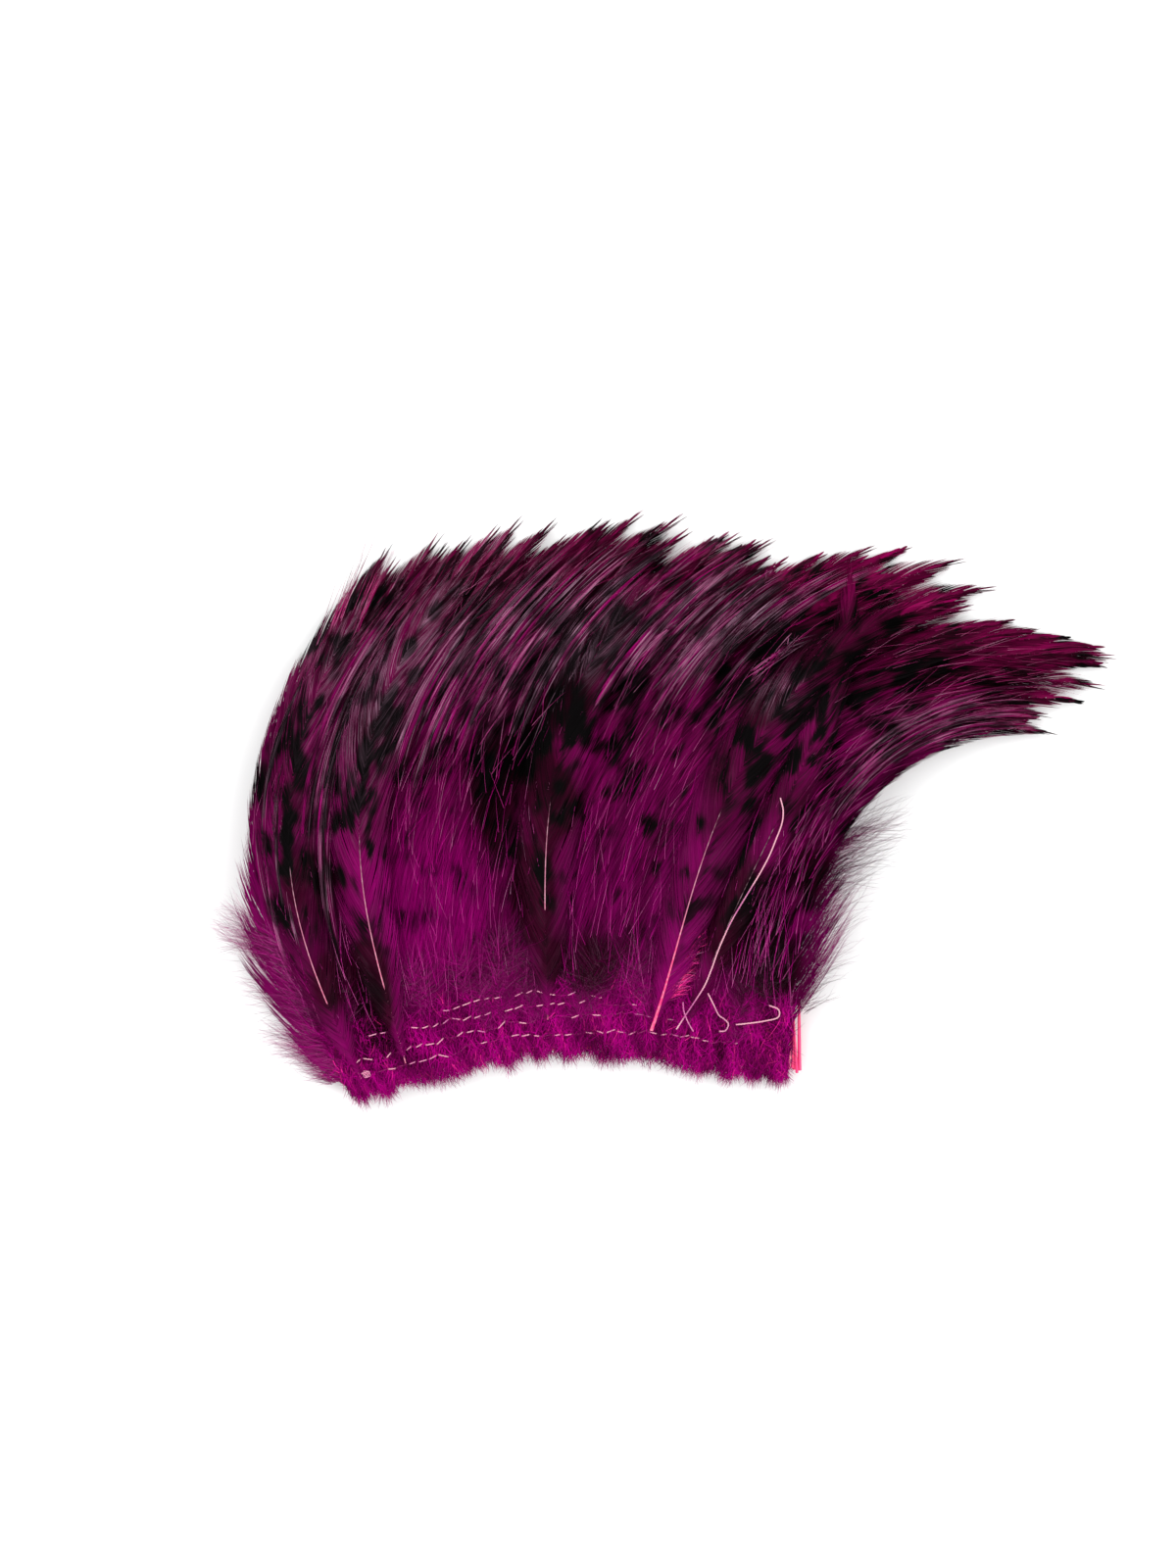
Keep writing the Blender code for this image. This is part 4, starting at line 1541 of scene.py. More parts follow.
    def fuzz(self, chance: Chance) -> Strands:
        """Make the short hairs that lie over the band between the rows of stitches.

        Args:
            chance: Source of random numbers.

        Returns:
            The hairs.
        """
        count = self.fuzz_count
        across = chance.uniform(-0.012, 1.005, count)
        rise = chance.uniform(-0.4, 15.5, count) * MM
        place, heading, top = self.on_band(across, rise)
        down = chance.uniform(0.0, 1.0, count) < np.interp(rise / MM, (3.0, 9.0), (0.85, 0.15))
        away = chance.normal(0.0, 0.55, count) + np.where(down, math.pi, 0.0)
        level = top + chance.uniform(-1.3, 0.16, count) * MM
        shorter = np.interp(rise / MM, (0.0, 13.0), (0.75, 1.35))
        clump = 0.58 + 0.30 * np.sin(across * 120.0 + 5.0 * np.sin(across * 17.0) + rise / MM * 0.5)
        darker = 0.8 * np.clip(self.guide.depth_at(place) - 0.7, 0.0, 1.0)
        return self.hairs(
            place, level, heading + away, chance.uniform(1.8, 4.6, count) * MM * shorter,
            chance.normal(0.0, 0.6, count), chance.uniform(-0.3, 0.3, count) * MM, self.fuzz_half, 4,
            chance, along=rise * 10.0, tone=np.clip(clump + chance.normal(0.0, 0.14, count), 0.0, 1.0),
            shade=across, down=1.0 + 0.0 * across,
            depth=np.clip(chance.normal(0.16, 0.24, count) + 0.25 * np.sin(across * 47.0 + 1.0)
                          + darker, 0.0, 1.4),
            heat=np.where(chance.uniform(0.0, 1.0, count) < 0.04, 0.45, 0.03))

    def ruff(self, chance: Chance) -> Strands:
        """Make the long soft down that fans out from the feathers' bases above the band.

        Args:
            chance: Source of random numbers.

        Returns:
            The hairs.
        """
        count = self.ruff_count
        base = chance.integers(0, self.ruff_bases, count)
        across = chance.uniform(0.0, 1.0, self.ruff_bases)[base] + chance.normal(0.0, 0.007, count)
        rise = chance.uniform(7.0, 20.0, self.ruff_bases)[base] + chance.uniform(-3.0, 5.0, count)
        rise = rise * MM
        place, heading, top = self.on_band(across, rise)
        side = np.where(chance.uniform(0.0, 1.0, count) < 0.5, 1.0, -1.0)
        away = side * np.radians(chance.uniform(6.0, 80.0, count))
        return self.hairs(
            place, top + chance.uniform(-0.5, 0.5, count) * MM, heading + away,
            chance.uniform(5.0, 13.0, count) * MM, -away * chance.uniform(0.1, 0.9, count),
            chance.uniform(-0.3, 0.3, count) * MM, self.ruff_half, 6, chance,
            along=rise * 10.0, tone=draw(chance, count, 0.42, 0.14), shade=across,
            # Some painted greyish-lilac sheen on the long down
            down=0.9 + 0.0 * across, lilac=draw(chance, count, 0.02, 0.10),
            depth=np.clip(self.guide.depth_at(place) - 0.05 + chance.normal(0.0, 0.15, count), 0.0, 1.6))

    def fringe(self, chance: Chance) -> Strands:
        """Make the fluffy edge below the quill ends.

        Args:
            chance: Source of random numbers.

        Returns:
            The hairs.
        """
        count = self.fringe_count
        across = chance.uniform(-0.01, 1.004, count)
        scallop = 1.0 + 0.45 * np.sin(across * 63.0 + 3.0 * np.sin(across * 14.0))
        lower = 1.1 * (scallop - 1.0) + 0.4 * np.sin(across * 23.0)
        place, heading, top = self.on_band(across, (chance.uniform(-0.4, 2.8, count) - lower) * MM)
        level = chance.uniform(0.25 * MM, top - 0.6 * MM)
        strand = chance.uniform(1.0, 3.3, count) * scallop
        strand = strand + np.where(chance.uniform(0, 1, count) < 0.04, 1.0, 0.0)
        return self.hairs(
            place, level, heading + math.pi + chance.normal(0.0, 0.36, count), strand * MM,
            chance.normal(0.0, 0.4, count), chance.uniform(-0.5, 0.4, count) * MM, self.fringe_half, 4,
            chance, along=0.0 * across, tone=draw(chance, count, 0.55, 0.2),
            shade=chance.uniform(0.0, 1.0, count), down=1.0 + 0.0 * across,
            depth=draw(chance, count, 0.08, 0.15, high=0.6),
            heat=np.where(chance.uniform(0.0, 1.0, count) < 0.04, 0.4, 0.0))

    def plume(self, feather: Feather, plan: PlumePlan, chance: Chance) -> Strands:
        """Make the long down that sweeps out past one end of the strip.

        Args:
            feather: The feather that it grows from.
            plan: Where and how it grows.
            chance: Source of random numbers.

        Returns:
            The hairs.
        """
        count = plan.count
        share = chance.uniform(*plan.span, count)
        place, facing = feather.on_shaft(share)
        along = (share - plan.span[0]) / (plan.span[1] - plan.span[0])
        tuft = rolling(chance, 24, 2)[(along * 23.0).astype(int)]
        away = np.interp(along, (0.0, 1.0), plan.turn) + 9.0 * tuft + chance.normal(0.0, 8.0, count)
        away = np.radians(away)
        shift = chance.uniform(0.0, 4.0, count) * MM
        place = place + left_of(facing) * plan.side.value * shift[:, None]
        level = feather.settle(self.pile, place[:, None], share[:, None])[0][:, 0]
        long = np.interp(along, (0.0, 0.5, 1.0), plan.reach) * (1.0 + 0.22 * tuft)
        long = np.minimum(long * (0.35 + 0.95 * chance.uniform(0.0, 1.0, count) ** 2.5), max(plan.reach))
        return self.hairs(
            place, level + chance.uniform(-0.6, 0.5, count) * MM, facing + plan.side.value * away,
            long * MM, plan.side.value * chance.normal(0.12, 0.3, count),
            chance.uniform(-1.6, 0.6, count) * MM, self.plume_half, 8, chance,
            along=share * 0.6, tone=draw(chance, count, 0.5, 0.22),
            shade=chance.uniform(0.0, 1.0, count), down=1.0 + 0.0 * share,
            # Painted greyish-lilac sheen on some of the plume
            depth=draw(chance, count, plan.dark, 0.25), lilac=draw(chance, count, 0.15, 0.2))

    def flyaways(self, chance: Chance) -> Strands:
        """Make single fine barbs that lie loose on the pile, and two wisps at its left edge.

        Args:
            chance: Source of random numbers.

        Returns:
            The barbs, along the flow of the feathers.
        """
        count = self.flyaway_count
        sweep = self.pile.sweep
        stray = np.arange(count) < self.stray_count
        wisp = np.where(np.arange(count) % 2 == 0, -0.012, 0.020) + chance.normal(0.0, 0.004, count)
        across = np.where(stray, wisp, chance.uniform(-0.03, 1.02, count))
        along = np.where(stray, chance.uniform(0.80, 0.88, count), chance.uniform(0.10, 0.93, count))
        place = sweep.look_up(sweep.place, across, along)
        length = np.where(stray, chance.uniform(17.0, 24.0, count), chance.uniform(5.0, 15.0, count)) * MM
        step = np.linspace(0.0, 1.0, 6)[None]
        passed = along[:, None] + step * (length / sweep.length_at(across))[:, None]
        lean = chance.normal(0.0, 0.16, count)[:, None] + chance.normal(0.0, 0.10, count)[:, None] * step
        lean = np.where(stray[:, None], 0.20 + 0.25 * lean, lean)
        lines = np.broadcast_to(across[:, None], passed.shape)
        turn = sweep.look_up(sweep.heading, lines, passed) + lean
        path = walk(place, turn, length)
        a, b, _ = sweep.find(path, lines, passed)
        loft = (0.15 + 0.5 * np.sin(step * math.pi)) * MM * chance.uniform(0.3, 1.2, (count, 1))
        slim = np.where(stray, self.stray_half, self.flyaway_half)[:, None] * (1.0 - 0.8 * step)
        half = raised(left_of(turn) * slim[..., None], np.zeros(turn.shape))
        marks = mark_up(
            turn.shape, along=passed * 1.2, tone=draw(chance, count, 0.75, 0.25)[:, None],
            # Painted greyish-lilac sheen on the loose barbs
            shade=across[:, None], out=0.9, down=0.6, lilac=draw(chance, count, 0.30, 0.35)[:, None])
        return Strands.of(raised(path, self.pile.top(a, b) + loft), half, marks)

    def lock_group(self, plan: LockPlan, chance: Chance) -> Strands:
        """Make one group of locks of long barbs, combed together along the flow of the feathers.

        Args:
            plan: Where the locks are and how they look.
            chance: Source of random numbers.

        Returns:
            The barbs.
        """
        number = plan.number
        across = np.sort(chance.uniform(*plan.places, number))
        first = chance.uniform(*plan.starts, number) + plan.later * np.clip(across, 0.0, 0.62)
        tip = np.interp(across, TIP_ACROSS, TIP_REACH)
        last = np.minimum(first + chance.uniform(*plan.spans, number),
                          tip - chance.uniform(0.0, 0.05, number))
        wide = chance.uniform(*self.lock_width, number)
        lock = np.repeat(np.arange(number), self.lock_barbs)
        u = np.tile(np.linspace(0.0, 1.0, self.lock_barbs), number)
        count = len(u)
        step = np.linspace(0.0, 1.0, 15)[None]
        begin = first[lock] + chance.uniform(0.0, 0.12, count)
        end = last[lock] - chance.uniform(0.0, 0.10, count) * (0.4 + np.abs(u - 0.5))
        along = begin[:, None] + (end - begin)[:, None] * step
        drift = chance.normal(0.0, 0.006, number)[lock][:, None] * step
        beside = (u[:, None] - 0.5) * (1.0 - 0.55 * step ** 3) * wide[lock][:, None]
        beside = beside + chance.normal(0.0, 0.0006, (count, 1)) * step
        lines = across[lock][:, None] + beside + drift
        sweep = self.pile.sweep
        flat = sweep.look_up(sweep.place, lines, along)
        turn = sweep.look_up(sweep.heading, lines, along)
        crown = np.sin(math.pi * (0.1 + 0.8 * u))[:, None] * np.sin(math.pi * (0.15 + 0.8 * step))
        loft = 0.05 + 0.42 * crown + chance.uniform(0.0, 0.5, number)[lock][:, None] * crown
        height = self.pile.top(lines, np.clip(along, 0.0, 1.0)) + loft * MM
        slim = self.lock_half * (1.0 - 0.85 * step ** 3) * np.minimum(1.0, 0.3 + step * 5.0)
        half = raised(left_of(turn) * slim[..., None], np.zeros(turn.shape))
        # Painted shade across each lock, darkest where it meets the next
        tone = read_table(1.0 - u, self.lock_painted_shade)[:, None] + chance.normal(0.0, 0.15, (count, 1))
        # Painted greyish-lilac sheen on some of each lock's hairs
        shiny = chance.uniform(0.0, 1.0, count) < chance.uniform(0.05, 0.80, number)[lock]
        glint = np.where(shiny, chance.uniform(0.60, 1.60, count), 0.03)
        lilac = np.clip(glint * plan.sheen_strength * (1.0 - 0.6 * u), 0.0, 1.0)
        own = chance.uniform(0.0, 5.0, number)[lock][:, None]
        depth = plan.depth + chance.normal(0.03, 0.42, number)[lock][:, None] + self.guide.depth_at(flat)
        marks = mark_up(
            turn.shape, along=along * 0.62 + 0.35, tone=np.clip(tone, 0.0, 1.0),
            shade=own + 0.01 * u[:, None], out=0.85, down=0.35, depth=np.clip(depth, 0.0, 1.6),
            lilac=lilac[:, None] * np.sin(math.pi * (0.1 + 0.8 * step)))
        return Strands.of(raised(flat, height), half, marks)

    def base_tuft(self, chance: Chance) -> Strands:
        """Make the hot-pink and tan fluff at the bare quill of the fourth cover feather.

        Args:
            chance: Source of random numbers.

        Returns:
            The hairs.
        """
        count = self.tuft_count
        share = chance.uniform(0.06, 0.17, count)
        place, facing = self.cover.on_shaft(share)
        level = self.cover.settle(self.pile, place[:, None], share[:, None])[0][:, 0]
        return self.hairs(
            place, level - chance.uniform(0.2, 0.9, count) * MM, facing - chance.uniform(0.15, 0.85, count),
            chance.uniform(3.0, 8.5, count) * MM, chance.normal(-0.1, 0.3, count),
            chance.uniform(-0.4, 0.3, count) * MM, self.tuft_half, 5, chance,
            along=0.0 * share, tone=draw(chance, count, 0.75, 0.2),
            shade=chance.uniform(0.0, 1.0, count), down=1.0 + 0.0 * share,
            # Painted greyish-lilac sheen on some of the tuft
            lilac=draw(chance, count, 0.2, 0.3, high=0.8), heat=draw(chance, count, 0.45, 0.25))

    def build(self) -> list:
        """Make the down's pieces.

        Returns:
            The pieces.
        """
        finish = BarbFinish("dyed down").make()
        chance = np.random.default_rng(self.seed)
        left = self.plume(self.first, self.left_plume, chance)
        right = self.plume(self.last, self.right_plume, chance)
        return [
            self.fuzz(chance).piece("band_fuzz", finish),
            self.fringe(chance).piece("band_fringe", finish),
            left.piece("left_plume", finish),
            right.piece("right_plume", finish),
            self.base_tuft(chance).piece("base_tuft", finish),
            self.flyaways(chance).piece("loose_barbs", finish),
            self.ruff(chance).piece("base_ruff", finish),
            Strands.join([self.lock_group(plan, chance) for plan in self.lock_plans], 2).piece(
                "combed_locks", finish),
        ]


def twisted(line: Array, radius: float, veil: float = 0.0) -> Strands:
    """Make a two-ply thread along a line as a tube with two lobes that wind round it.

    Args:
        line: Points a short step apart.
        radius: Radius of the thread.
        veil: How far fluff hides it, for the whole line or at each point.

    Returns:
        The tube.
    """
    run = unit_run(line)
    left = np.cross((0.0, 0.0, 1.0), run)
    left /= np.maximum(np.linalg.norm(left, axis=1)[:, None], 0.001)
    up = np.cross(run, left)
    travel = travel_along(line)
    angle = np.linspace(0.0, 2.0 * math.pi, THREAD_SIDES, endpoint=False)[None]
    wound = travel[:, None] / THREAD_TWIST * 2.0 * math.pi
    lobes = np.cos(2.0 * (angle - wound))
    girth = radius * (1.0 - THREAD_LOBE + THREAD_LOBE * lobes)
    corners = (line[:, None] + left[:, None] * (np.cos(angle) * girth)[..., None]
               + up[:, None] * (np.sin(angle) * girth)[..., None]).reshape(-1, 3)
    count = len(line)
    rings = np.arange(count - 1)[:, None] * THREAD_SIDES
    here = (rings + np.arange(THREAD_SIDES)[None]).ravel()
    after = (rings + (np.arange(THREAD_SIDES)[None] + 1) % THREAD_SIDES).ravel()
    skin = np.concatenate((np.stack((here, after, after + THREAD_SIDES), axis=1),
                           np.stack((here, after + THREAD_SIDES, here + THREAD_SIDES), axis=1)))
    fan = np.arange(1, THREAD_SIDES - 1)
    start = np.stack((np.zeros(len(fan), int), fan + 1, fan), axis=1)
    end = np.stack((np.zeros(len(fan), int), fan, fan + 1), axis=1) + (count - 1) * THREAD_SIDES
    spots = np.stack(np.meshgrid(np.linspace(0.0, 1.0, THREAD_SIDES), travel / travel[-1]), axis=2)
    hidden = np.repeat(np.broadcast_to(veil, count), THREAD_SIDES)
    # The tone follows the lobes, so the finish paints shade in the grooves between the plies
    return Strands(corners, np.concatenate((skin, start, end)), spots.reshape(-1, 2),
                   mark_up((len(corners),), tone=(0.5 + 0.5 * lobes).ravel(), shade=hidden))


@dataclass(frozen=True)
class Row:
    """A row of stitching: its solid, where it runs across and how far up the band."""

    name: str
    start: float
    end: float
    along: tuple
    front: bool = True


@dataclass
class Stitching:
    """The rows of lockstitch on both faces of the band."""

    pile: Pile
    seed: int = 5
    pitch: float = 2.3 * MM
    step: float = 0.17 * MM
    radius: float = 0.15 * MM
    wander: float = 0.34
    slant: tuple = (0.30, 0.40)
    shown: tuple = (0.17, 0.37)
    turn_down: float = 0.10
    hidden_share: float = 0.30
    hidden_depth: float = 0.8
    dive: float = 0.60 * MM
    back_dive: float = 0.7 * MM
    highest: float = 0.55 * MM
    arch: float = 0.10 * MM
    rows: tuple = (
        Row("front_row_top", 0.25, 0.56, (13.4, 13.0, 12.4)),
        Row("front_row_upper", 0.04, 0.63, (12.2, 10.2, 11.0)),
        Row("front_row_main", 0.03, 0.72, (6.6, 7.0, 9.0)),
        Row("front_row_lower", 0.08, 0.86, (4.0, 3.8, 6.5)),
        Row("back_row_upper", 0.02, 0.98, (9.0, 9.0, 9.0), False),
        Row("back_row_main", 0.02, 0.98, (5.0, 5.0, 5.0), False),
        Row("back_row_lower", 0.02, 0.98, (2.6, 2.6, 2.6), False),
    )

    def thread(self, row: Row, chance: Chance) -> Strands:
        """Make one row's thread, which dives under the fluff between its stitches.

        Args:
            row: The row.
            chance: Source of random numbers.

        Returns:
            The thread.
        """
        across = np.linspace(row.start, row.end, 400)
        rise = np.interp(across, (row.start, (row.start + row.end) / 2.0, row.end), row.along)
        sweep = self.pile.sweep
        along = rise * MM / sweep.length_at(across)
        flat = sweep.look_up(sweep.place, across, along)
        top = self.pile.top(across, along)
        travel = travel_along(flat)
        steps = np.arange(0.0, travel[-1], self.step)
        flat = read_line(steps, travel, flat)
        top = np.interp(steps, travel, top)
        stitch = steps / self.pitch
        number = stitch.astype(int)
        share = stitch - number
        count = number.max() + 2
        offsets = chance.normal(0.0, self.wander, count) * MM
        slant = chance.normal(*self.slant, count) * MM
        run = unit_run(flat)
        beside = np.stack((-run[:, 1], run[:, 0]), axis=1)
        shift = np.interp(stitch, np.arange(count), offsets) + slant[number] * (share - 0.5)
        flat = flat + beside * shift[:, None]
        reach = chance.uniform(*self.shown, count)[number]
        hide = ease(np.clip((np.abs(share - 0.5) - reach) / self.turn_down, 0.0, 1.0))
        if row.front:
            covered = (chance.uniform(0.0, 1.0, count) < self.hidden_share)[number]
            level = np.minimum(self.level_of(row, flat) - self.radius, top + self.highest)
            level = level - self.arch + self.arch * np.sin(share * math.pi)
            hide = np.maximum(hide, np.where(covered, self.hidden_depth, 0.0))
            height = level + (top - self.dive - level) * hide
        else:
            height = self.radius + hide * self.back_dive
        return twisted(raised(flat, height), self.radius, hide)

    def level_of(self, row: Row, flat: Array) -> Array:
        """Read the height of a row's solid along it.

        Args:
            row: The row.
            flat: Places along it, seen from above.

        Returns:
            Heights of the solid's upper face there.
        """
        corners = np.unique(np.round(corners_of(row.name), 6), axis=0)
        stations = corners[np.argsort(corners[:, 0])].reshape(-1, 4, 3)
        return np.interp(flat[:, 0], stations[:, :, 0].mean(axis=1), stations[:, :, 2].max(axis=1))

    def build(self) -> list:
        """Make the rows.

        Returns:
            Pairs of a piece and the node that it stands for.
        """
        finish = ThreadFinish("spun sewing thread").make()
        chance = np.random.default_rng(self.seed)
        return [(self.thread(row, chance).piece(f"{row.name}_stitches", finish), [row.name])
                for row in self.rows]


@dataclass
class LooseThread:
    """The free end of the sewing thread, and the shorter ends near it."""

    thickness: float = 0.36 * MM
    step: float = 0.22 * MM
    near: float = 0.7 * MM
    far: float = 5.0 * MM
    bit_lift: float = 0.45 * MM
    pale: tuple = (0.98, 0.42, 0.56)
    tail: tuple = (
        (22.3, 0.0), (24.3, 3.1), (26.4, 6.3), (28.4, 9.5), (29.8, 12.9), (31.1, 16.6),
        (32.5, 20.0), (34.2, 23.6), (36.1, 26.9), (38.2, 30.4), (40.3, 33.9), (42.2, 37.5),
        (43.6, 40.9), (44.9, 44.4), (45.2, 47.3), (44.6, 50.0),
    )
    hook: tuple = (
        (29.1, 7.8), (30.3, 5.4), (31.5, 3.0), (32.7, 2.1), (33.6, 1.0), (33.0, -0.4), (31.6, -0.6),
    )
    catch: tuple = (
        (35.2, 0.9), (38.0, 1.2), (41.4, 1.7), (44.3, 2.5), (44.4, 4.2), (42.4, 5.1),
    )
    bit: tuple = ((23.7, 5.9), (23.9, 4.0), (24.7, 1.8), (25.9, -0.4))

    def line(self, route: tuple, name: str) -> Array:
        """Run a smooth line through a route, at the height of its solid.

        Args:
            route: Points seen from above, in millimetres.
            name: Name of the node whose height it takes.

        Returns:
            The line.
        """
        knots = np.array(route) * MM
        ends = np.concatenate(([2 * knots[0] - knots[1]], knots, [2 * knots[-1] - knots[-2]]))
        share = np.linspace(0.0, 1.0, 20, endpoint=False)[:, None]
        parts = []
        for k in range(1, len(ends) - 2):
            a, b, c, d = ends[k - 1:k + 3]
            parts.append(0.5 * (2 * b + (c - a) * share + (2 * a - 5 * b + 4 * c - d) * share ** 2
                                + (3 * b - a - 3 * c + d) * share ** 3))
        path = np.concatenate(parts + [knots[-1:]])
        travel = travel_along(path)
        steps = np.linspace(0.0, travel[-1], int(travel[-1] / self.step) + 2)
        flat = read_line(steps, travel, path)
        corners = corners_of(name)
        gap = np.linalg.norm(flat[:, None] - corners[None, :, :2], axis=2)
        weight = np.exp(-(gap / self.near) ** 2) + 1e-9 * np.exp(-(gap / self.far) ** 2)
        return raised(flat, (weight * corners[None, :, 2]).sum(axis=1) / weight.sum(axis=1))

    def build(self) -> list:
        """Make the tail and the short ends.

        Returns:
            Pairs of a piece and the node that it stands for.
        """
        finish = ThreadFinish("loose sewing thread", self.pale).make()
        made = []
        for name, node, route in (("thread_tail", "loose_thread", self.tail),
                                  ("thread_hook", "thread_end_hook", self.hook),
                                  ("thread_catch", "thread_end_catch", self.catch)):
            line = self.line(route, node)
            piece = twisted(line, self.thickness / 2.0).piece(name, finish)
            made.append((piece, [node]))
            if node == "loose_thread":
                self.declare(line)
        bit = self.line(self.bit, "loose_thread")
        bit[:, 2] += self.bit_lift
        made.append((twisted(bit, self.thickness / 2.2).piece("thread_bit", finish), []))
        return made

    def declare(self, line: Array) -> None:
        """Gather points along the tail, which is a free cord; nothing is done with them.

        Args:
            line: Its middle line.
        """
        path = [tuple(float(value) for value in point) for point in line[::4]]
        path.append(tuple(float(value) for value in line[-1]))


@dataclass
class Quills:
    """The bundle of bare quills at the right-hand cut end, and the knot at the left end."""

    first: tuple = (47.5, -9.2)
    sides: int = 14
    taper: float = 0.6
    rounding: float = 0.12 * MM
    crease: float = math.radians(50.0)
    knot_place: tuple = (-44.9 * MM, -9.9 * MM)
    knot_size: tuple = (0.75 * MM, 0.55 * MM, 0.30 * MM)
    knot_lift: float = 0.1 * MM
    knot_radius: float = 0.19 * MM

    def rod(self, name: str, start: tuple, length: float, lean: float, radius: float, level: float,
            finish: Material) -> Piece:
        """Make one quill.

        Args:
            name: Name of the piece.
            start: Its lower end, seen from above, in millimetres.
            length: Its length in millimetres.
            lean: Its heading in degrees.
            radius: Its radius at the lower end in millimetres.
            level: Its height in millimetres.
            finish: Its material.

        Returns:
            The quill.
        """
        heading = math.radians(lean)
        middle = (start[0] + math.cos(heading) * length / 2.0,
                  start[1] + math.sin(heading) * length / 2.0)
        bpy.ops.object.select_all(action="DESELECT")
        bpy.ops.mesh.primitive_cone_add(
            vertices=self.sides, radius1=radius * MM, radius2=radius * self.taper * MM, depth=length * MM,
            location=(middle[0] * MM, middle[1] * MM, level * MM),
            rotation=(-math.pi / 2.0, 0.0, heading - math.pi / 2.0))
        quill = bpy.context.active_object
        quill.name = name
        bpy.ops.object.transform_apply(location=True, rotation=True, scale=True)
        bpy.ops.object.mode_set(mode="EDIT")
        bpy.ops.mesh.select_all(action="SELECT")
        bpy.ops.mesh.bevel(offset=self.rounding, segments=2, affect="EDGES")
        bpy.ops.object.mode_set(mode="OBJECT")
        bpy.ops.object.shade_smooth_by_angle(angle=self.crease)
        quill.data.materials.append(finish)
        return quill

    def build(self) -> list:
        """Make the quills.

        Returns:
            Pairs of a piece and the nodes that it stands for.
        """
        finish = QuillFinish("hot pink quill").make()
        x, y = self.first
        plan = (
            ("quill_end_1", (x + 0.6, y), 15.0, 92.0, 0.50, 1.6, ["bare_quill_1"]),
            ("quill_end_2", (x + 1.7, y - 0.1), 14.6, 90.5, 0.48, 2.5, ["bare_quill_2"]),
            ("quill_end_3", (x + 0.1, y + 0.5), 11.5, 88.0, 0.34, 3.1, []),
            ("quill_end_4", (x + 1.1, y - 0.6), 12.5, 93.5, 0.32, 3.4, []),
            ("quill_end_5", (x - 0.7, y + 0.2), 9.0, 86.0, 0.30, 3.5, []),
        )
        return [(self.rod(name, start, length, lean, radius, level, finish), nodes)
                for name, start, length, lean, radius, level, nodes in plan]

    def knot(self, level: float) -> Piece:
        """Make the small knot of thread at the left end of the rows.

        Args:
            level: Height of the band there.

        Returns:
            The knot.
        """
        turns = np.linspace(0.0, 5.0 * math.pi, 90)
        swell = 0.8 + 0.45 * np.sin(turns * 1.7)
        wide, high, thick = self.knot_size
        line = np.column_stack((
            self.knot_place[0] + wide * swell * np.cos(turns),
            self.knot_place[1] + high * swell * np.sin(turns),
            level + thick * np.sin(turns * 1.4) + self.knot_lift))
        finish = ThreadFinish("knotted thread").make()
        return twisted(line, self.knot_radius).piece("thread_knot", finish)


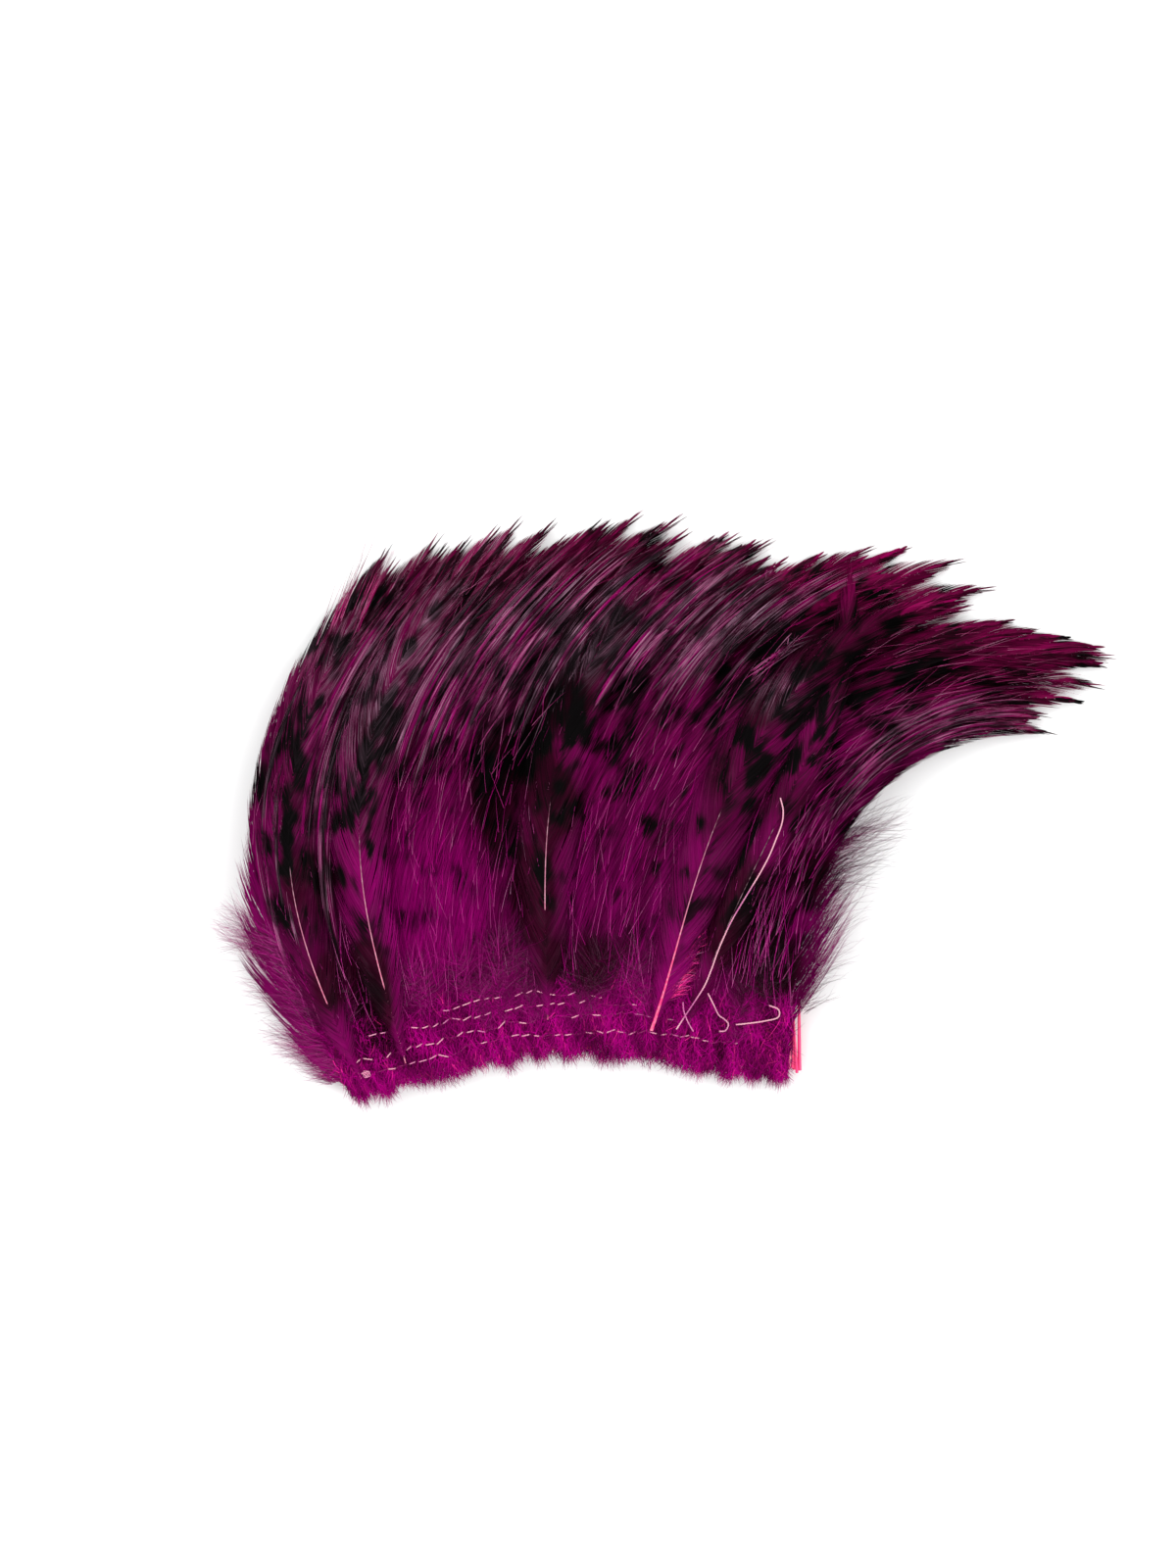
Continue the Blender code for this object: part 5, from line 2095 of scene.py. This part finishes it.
@dataclass
class Studio:
    """Plain floor, soft light and a camera that looks straight down."""

    pixel: float = 0.2122 * MM
    frame_height: int = 1600
    centre: tuple = (3.2 * MM, 53.0 * MM)
    camera_height: float = 0.806
    look_level: float = 0.006
    sensor: float = 36.0
    aim: tuple = (0.01, 0.05, 0.0)
    key: tuple = ((-0.60, 0.55, 0.75), 0.55, 3.2)
    fill: tuple = ((0.60, -0.20, 0.90), 0.70, 2.5)
    sky: float = 1.14
    white: tuple = (1.0, 1.0, 1.0, 1.0)
    paper: tuple = (0.95, 0.95, 0.95, 1.0)
    paper_roughness: float = 0.9
    floor_size: float = 6.0
    floor_level: float = -0.4 * MM

    def build(self) -> None:
        """Add the floor, the lights and the camera."""
        self.add_floor()
        self.add_light("key", *self.key)
        self.add_light("fill", *self.fill)
        world = bpy.data.worlds.new("soft white room")
        world.use_nodes = True
        backdrop = world.node_tree.nodes["Background"]
        backdrop.inputs["Color"].default_value = self.white
        backdrop.inputs["Strength"].default_value = self.sky
        bpy.context.scene.world = world
        bpy.context.scene.view_settings.view_transform = "Standard"
        self.add_camera()

    def add_floor(self) -> None:
        """Add the plain pale surface that the strip lies on."""
        bpy.ops.mesh.primitive_plane_add(size=self.floor_size, location=(0.0, 0.0, self.floor_level))
        floor = bpy.context.active_object
        floor.name = "floor"
        material = bpy.data.materials.new("white paper")
        material.use_nodes = True
        shader = material.node_tree.nodes["Principled BSDF"]
        shader.inputs["Base Color"].default_value = self.paper
        shader.inputs["Roughness"].default_value = self.paper_roughness
        floor.data.materials.append(material)

    def add_light(self, name: str, place: tuple, size: float, power: float) -> None:
        """Add a square soft light that faces the strip.

        Args:
            name: Name of the light.
            place: Where it stands.
            size: Length of its sides.
            power: Its power in watts.
        """
        data = bpy.data.lights.new(name, "AREA")
        data.size = size
        data.energy = power
        light = bpy.data.objects.new(name, data)
        light.location = place
        aim = Vector(self.aim) - light.location
        light.rotation_mode = "QUATERNION"
        light.rotation_quaternion = aim.to_track_quat("-Z", "Y")
        bpy.context.scene.collection.objects.link(light)

    def add_camera(self) -> None:
        """Add the camera at the photograph's angle and distance."""
        data = bpy.data.cameras.new("camera")
        data.sensor_fit = "AUTO"
        data.sensor_width = self.sensor
        seen = self.pixel * self.frame_height
        data.lens = self.sensor * (self.camera_height - self.look_level) / seen
        data.clip_start = 0.01
        data.clip_end = 10.0
        camera = bpy.data.objects.new("camera", data)
        camera.location = (self.centre[0], self.centre[1], self.camera_height)
        bpy.context.scene.collection.objects.link(camera)
        bpy.context.scene.camera = camera


def dress(piece: Piece, nodes: list) -> None:
    """Tie a piece to the strip's body and the nodes that it stands for.

    Args:
        piece: The piece.
        nodes: Names of the nodes that it replaces.
    """
    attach(piece, "root")
    if nodes:
        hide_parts(*nodes)
    LOG.info("%s: %d triangles", piece.name, len(piece.data.polygons))


def main() -> None:
    """Build the strip's pieces in order and light them."""
    logging.basicConfig(level=logging.INFO, format="%(message)s")
    pile = Pile(Sweep())
    Studio().build()
    for piece, nodes in LooseThread().build():
        dress(piece, nodes)
    for piece, nodes in Stitching(pile).build():
        dress(piece, nodes)
    plumage = Plumage(pile)
    for piece, nodes in plumage.build():
        dress(piece, nodes)
    down = Down(pile, plumage.shingle[0], plumage.shingle[-1], plumage.covers[3])
    for piece in down.build():
        dress(piece, [])
    quills = Quills()
    for piece, nodes in quills.build():
        dress(piece, nodes)
    dress(quills.knot(down.band_top(0.02, 4.0 * MM)), [])


if __name__ == "__main__":
    main()
